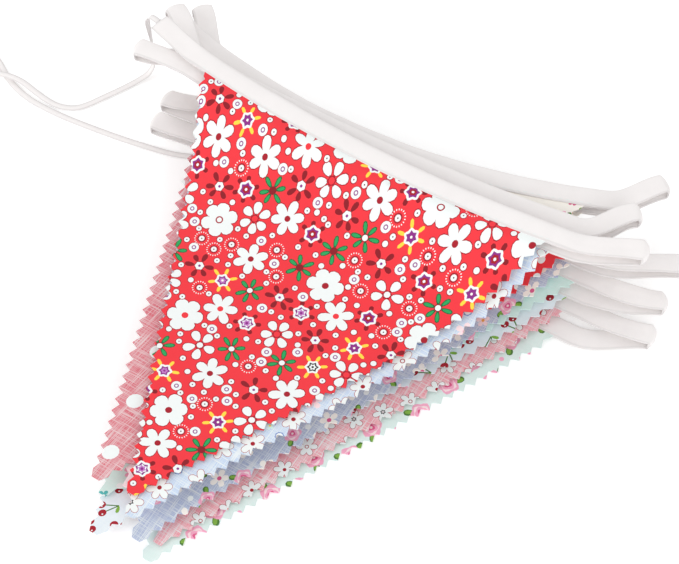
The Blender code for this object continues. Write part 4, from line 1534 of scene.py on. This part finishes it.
@dataclass
class FlatTie:
    """A thin ribbon tie: points on its route and the direction across it in degrees."""

    name: str
    node: str
    route: tuple[tuple[float, float, float, float], ...]
    finish: RibbonFinish
    width: float = 3.2
    thickness: float = 0.4
    steps: int = 6

    def line(self) -> np.ndarray:
        """Smooth line through the route."""
        points = np.array(self.route)
        made = []
        for index in range(len(points) - 1):
            before = points[max(index - 1, 0)]
            start, end = points[index], points[index + 1]
            after = points[min(index + 2, len(points) - 1)]
            for step in range(self.steps):
                s = step / self.steps
                made.append(0.5 * (2.0 * start + (end - before) * s
                                   + (2.0 * before - 5.0 * start + 4.0 * end - after) * s ** 2
                                   + (3.0 * start - before - 3.0 * end + after) * s ** 3))
        made.append(points[-1])
        return np.array(made)

    def build(self) -> bpy.types.Object:
        """Sweep the ribbon.

        Returns:
            The finished piece.
        """
        line = self.line()
        centres = line[:, :3]
        yaw = np.radians(line[:, 3])
        ahead = np.vstack([centres[1:], centres[-1:]]) - np.vstack([centres[:1], centres[:-1]])
        ahead /= np.linalg.norm(ahead, axis=1)[:, None]
        across = np.stack([np.cos(yaw), np.sin(yaw), np.zeros(len(yaw))], axis=1)
        across -= ahead * np.sum(ahead * across, axis=1)[:, None]
        across /= np.linalg.norm(across, axis=1)[:, None]
        up = np.cross(ahead, across)
        w, t = self.width / 2.0, self.thickness / 2.0
        loop = np.array([(-w, 0.0), (-0.92 * w, -t), (0.0, -0.8 * t), (0.92 * w, -t),
                         (w, 0.0), (0.92 * w, t), (0.0, 0.8 * t), (-0.92 * w, t)])
        along = np.concatenate([[0.0], np.cumsum(np.linalg.norm(np.diff(centres, axis=0), axis=1))])
        points = []
        maps = []
        for index, centre in enumerate(centres):
            points.append(centre + loop[:, :1] * across[index] + loop[:, 1:] * up[index])
            maps.append(np.column_stack([loop[:, 0] + 5.0, np.full(8, along[index])]) * MM)
        faces = []
        for index in range(len(centres) - 1):
            for place in range(8):
                after = (place + 1) % 8
                here = index * 8
                faces.append((here + place, here + after, here + 8 + after, here + 8 + place))
        last = (len(centres) - 1) * 8
        for start, flip in ((0, True), (last, False)):
            quads = [(0, 1, 2, 7), (2, 3, 6, 7), (3, 4, 5, 6)]
            for quad in quads:
                corners = [start + index for index in quad]
                faces.append(tuple(corners[::-1] if flip else corners))
        piece = make_object(self.name, np.concatenate(points), np.array(faces), self.finish.material(),
                            np.concatenate(maps))
        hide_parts(self.node)
        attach(piece, BODY)
        LOG.info("%s: %.0f mm long", self.name, along[-1])
        return piece


UPPER_ROUTE = (
    (-124.1, 13.73, 45.0, 76.0), (-129.6, 14.9, 43.8, 78.0), (-132.4, 15.4, 38.4, 84.0),
    (-131.9, 15.6, 29.0, 104.0), (-131.2, 15.8, 17.0, 132.0), (-131.2, 14.6, 8.0, 150.0),
    (-132.6, 11.8, 3.0, 154.0), (-134.8, 7.4, 1.3, 155.0), (-137.5, 1.3, 0.9, 155.0),
    (-142.2, -8.6, 0.9, 156.0), (-147.8, -19.6, 0.9, 140.0), (-152.3, -24.2, 0.9, 126.0),
    (-158.5, -26.7, 0.9, 104.0), (-165.4, -27.0, 1.1, 89.0), (-173.1, -26.3, 1.8, 85.0),
    (-180.6, -25.6, 2.9, 88.0), (-188.2, -26.2, 3.3, 100.0), (-196.0, -28.6, 3.0, 110.0),
    (-205.0, -32.5, 1.6, 114.0), (-217.0, -38.0, 0.9, 116.0),
)
LOWER_ROUTE = (
    (-79.64, -13.2, 1.82, 92.0), (-86.5, -17.0, 1.4, 114.0), (-94.3, -20.3, 1.1, 110.0),
    (-101.8, -22.3, 0.9, 105.0), (-118.1, -25.7, 0.8, 101.0), (-135.4, -28.5, 0.8, 98.0),
    (-153.4, -30.7, 0.8, 94.0), (-167.6, -31.2, 0.8, 87.0), (-175.7, -30.5, 0.8, 80.0),
    (-184.1, -28.4, 0.8, 71.0), (-191.2, -25.4, 0.8, 64.0), (-199.0, -21.0, 0.8, 62.0),
    (-208.0, -17.0, 0.8, 68.0), (-221.0, -13.0, 0.8, 75.0),
)


@dataclass
class Studio:
    """Camera of the photo's view, pale floor and soft light."""

    azimuth: float = 32.675
    elevation: float = 57.0
    distance: float = 900.0
    focal_pixels: float = 2026.9
    picture_width: float = 679.0
    target: tuple[float, float, float] = (16.954, -49.277, 20.0)
    floor_tone: tuple[float, float, float] = (0.98, 0.98, 0.98)

    def place_camera(self) -> bpy.types.Object:
        """Create the camera and make it the scene's.

        Returns:
            The camera.
        """
        azimuth, elevation = math.radians(self.azimuth), math.radians(self.elevation)
        back = Vector((math.sin(azimuth) * math.cos(elevation), -math.cos(azimuth) * math.cos(elevation),
                       math.sin(elevation)))
        right = Vector((math.cos(azimuth), math.sin(azimuth), 0.0))
        up = back.cross(right)
        target = (Vector(self.target) + Vector(SHIFT.tolist())) * MM
        data = bpy.data.cameras.new("view")
        data.sensor_width = 36.0
        data.lens = self.focal_pixels / self.picture_width * data.sensor_width
        data.clip_start = 0.01
        data.clip_end = 20.0
        camera = bpy.data.objects.new("view", data)
        turn = Matrix((right, up, back)).transposed().to_4x4()
        camera.matrix_world = Matrix.Translation(target + back * self.distance * MM) @ turn
        bpy.context.scene.collection.objects.link(camera)
        bpy.context.scene.camera = camera
        return camera

    def lay_floor(self) -> bpy.types.Object:
        """Create the floor.

        Returns:
            The floor.
        """
        size = 4.0
        mesh = bpy.data.meshes.new("floor")
        mesh.from_pydata([(-size, -size, 0.0), (size, -size, 0.0), (size, size, 0.0), (-size, size, 0.0)],
                         [], [(0, 1, 2, 3)])
        mesh.materials.append(PaperFinish("pale_floor", self.floor_tone).material())
        floor = bpy.data.objects.new("floor", mesh)
        bpy.context.scene.collection.objects.link(floor)
        return floor

    def lamp(self, name: str, place: tuple[float, float, float], size: float, power: float) -> None:
        """Add one soft lamp aimed at the pile.

        Args:
            name: The lamp's name.
            place: Its position in metres.
            size: The side of its square in metres.
            power: Its power in watts.
        """
        data = bpy.data.lights.new(name, "AREA")
        data.size = size
        data.energy = power
        thing = bpy.data.objects.new(name, data)
        thing.location = place
        aim = Vector((0.0, 0.0, 0.02)) - Vector(place)
        thing.rotation_euler = aim.to_track_quat("-Z", "Y").to_euler()
        bpy.context.scene.collection.objects.link(thing)

    def light(self) -> None:
        """Set the soft sky and the lamps."""
        world = bpy.data.worlds.new("soft_sky")
        world.use_nodes = True
        sky = world.node_tree.nodes["Background"]
        sky.inputs["Color"].default_value = (1.0, 1.0, 1.0, 1.0)
        sky.inputs["Strength"].default_value = 0.76
        bpy.context.scene.world = world
        bpy.context.scene.view_settings.view_transform = "Standard"
        bpy.context.scene.view_settings.look = "None"
        self.lamp("key", (-0.6, 0.5, 1.4), 1.1, 2.6)
        self.lamp("front", (-0.9, -0.9, 0.7), 1.0, 6.2)
        self.lamp("fill", (1.0, -0.6, 0.7), 1.0, 4.8)

    def build(self) -> None:
        """Camera, floor and lights."""
        self.place_camera()
        self.lay_floor()
        self.light()


def main() -> None:
    """Build the whole scene, piece by piece."""
    logging.basicConfig(level=logging.INFO, format="%(name)s %(message)s")
    Studio().build()
    # The last tuple places the tie's painted shade lines, along its two edges.
    ribbon = RibbonFinish("thin_ribbon", Ink.TAPE, 0.5, 0.62, 0.12, (0.0034, 0.0066))
    for tie in (FlatTie("upper_ribbon", "tie_upper", UPPER_ROUTE, ribbon),
                FlatTie("lower_ribbon", "tie_lower", LOWER_ROUTE, ribbon)):
        LOG.info("piece %s", tie.build().name)
    pile = Pile()
    pile.lay(FLAGS)
    # The last tuple places the tape's painted shade lines, along its two open edges and its fold.
    tape = FoldedTape(pile, RibbonFinish("folded_tape", Ink.TAPE, 0.62, 0.8, 0.15, (0.0003, 0.0103, 0.0205)))
    LOG.info("piece %s", tape.build().name)
    stitching = Stitching(tape, ThreadFinish("white_thread", Ink.WHITE))
    LOG.info("piece %s", stitching.build().name)
    for cut, cloth, layer in zip(FLAGS, CLOTHS, pile.layers):
        piece = Flag(cut, cloth, layer, pile).build()
        LOG.info("piece %s, %d faces", piece.name, len(piece.data.polygons))


if __name__ == "__main__":
    main()
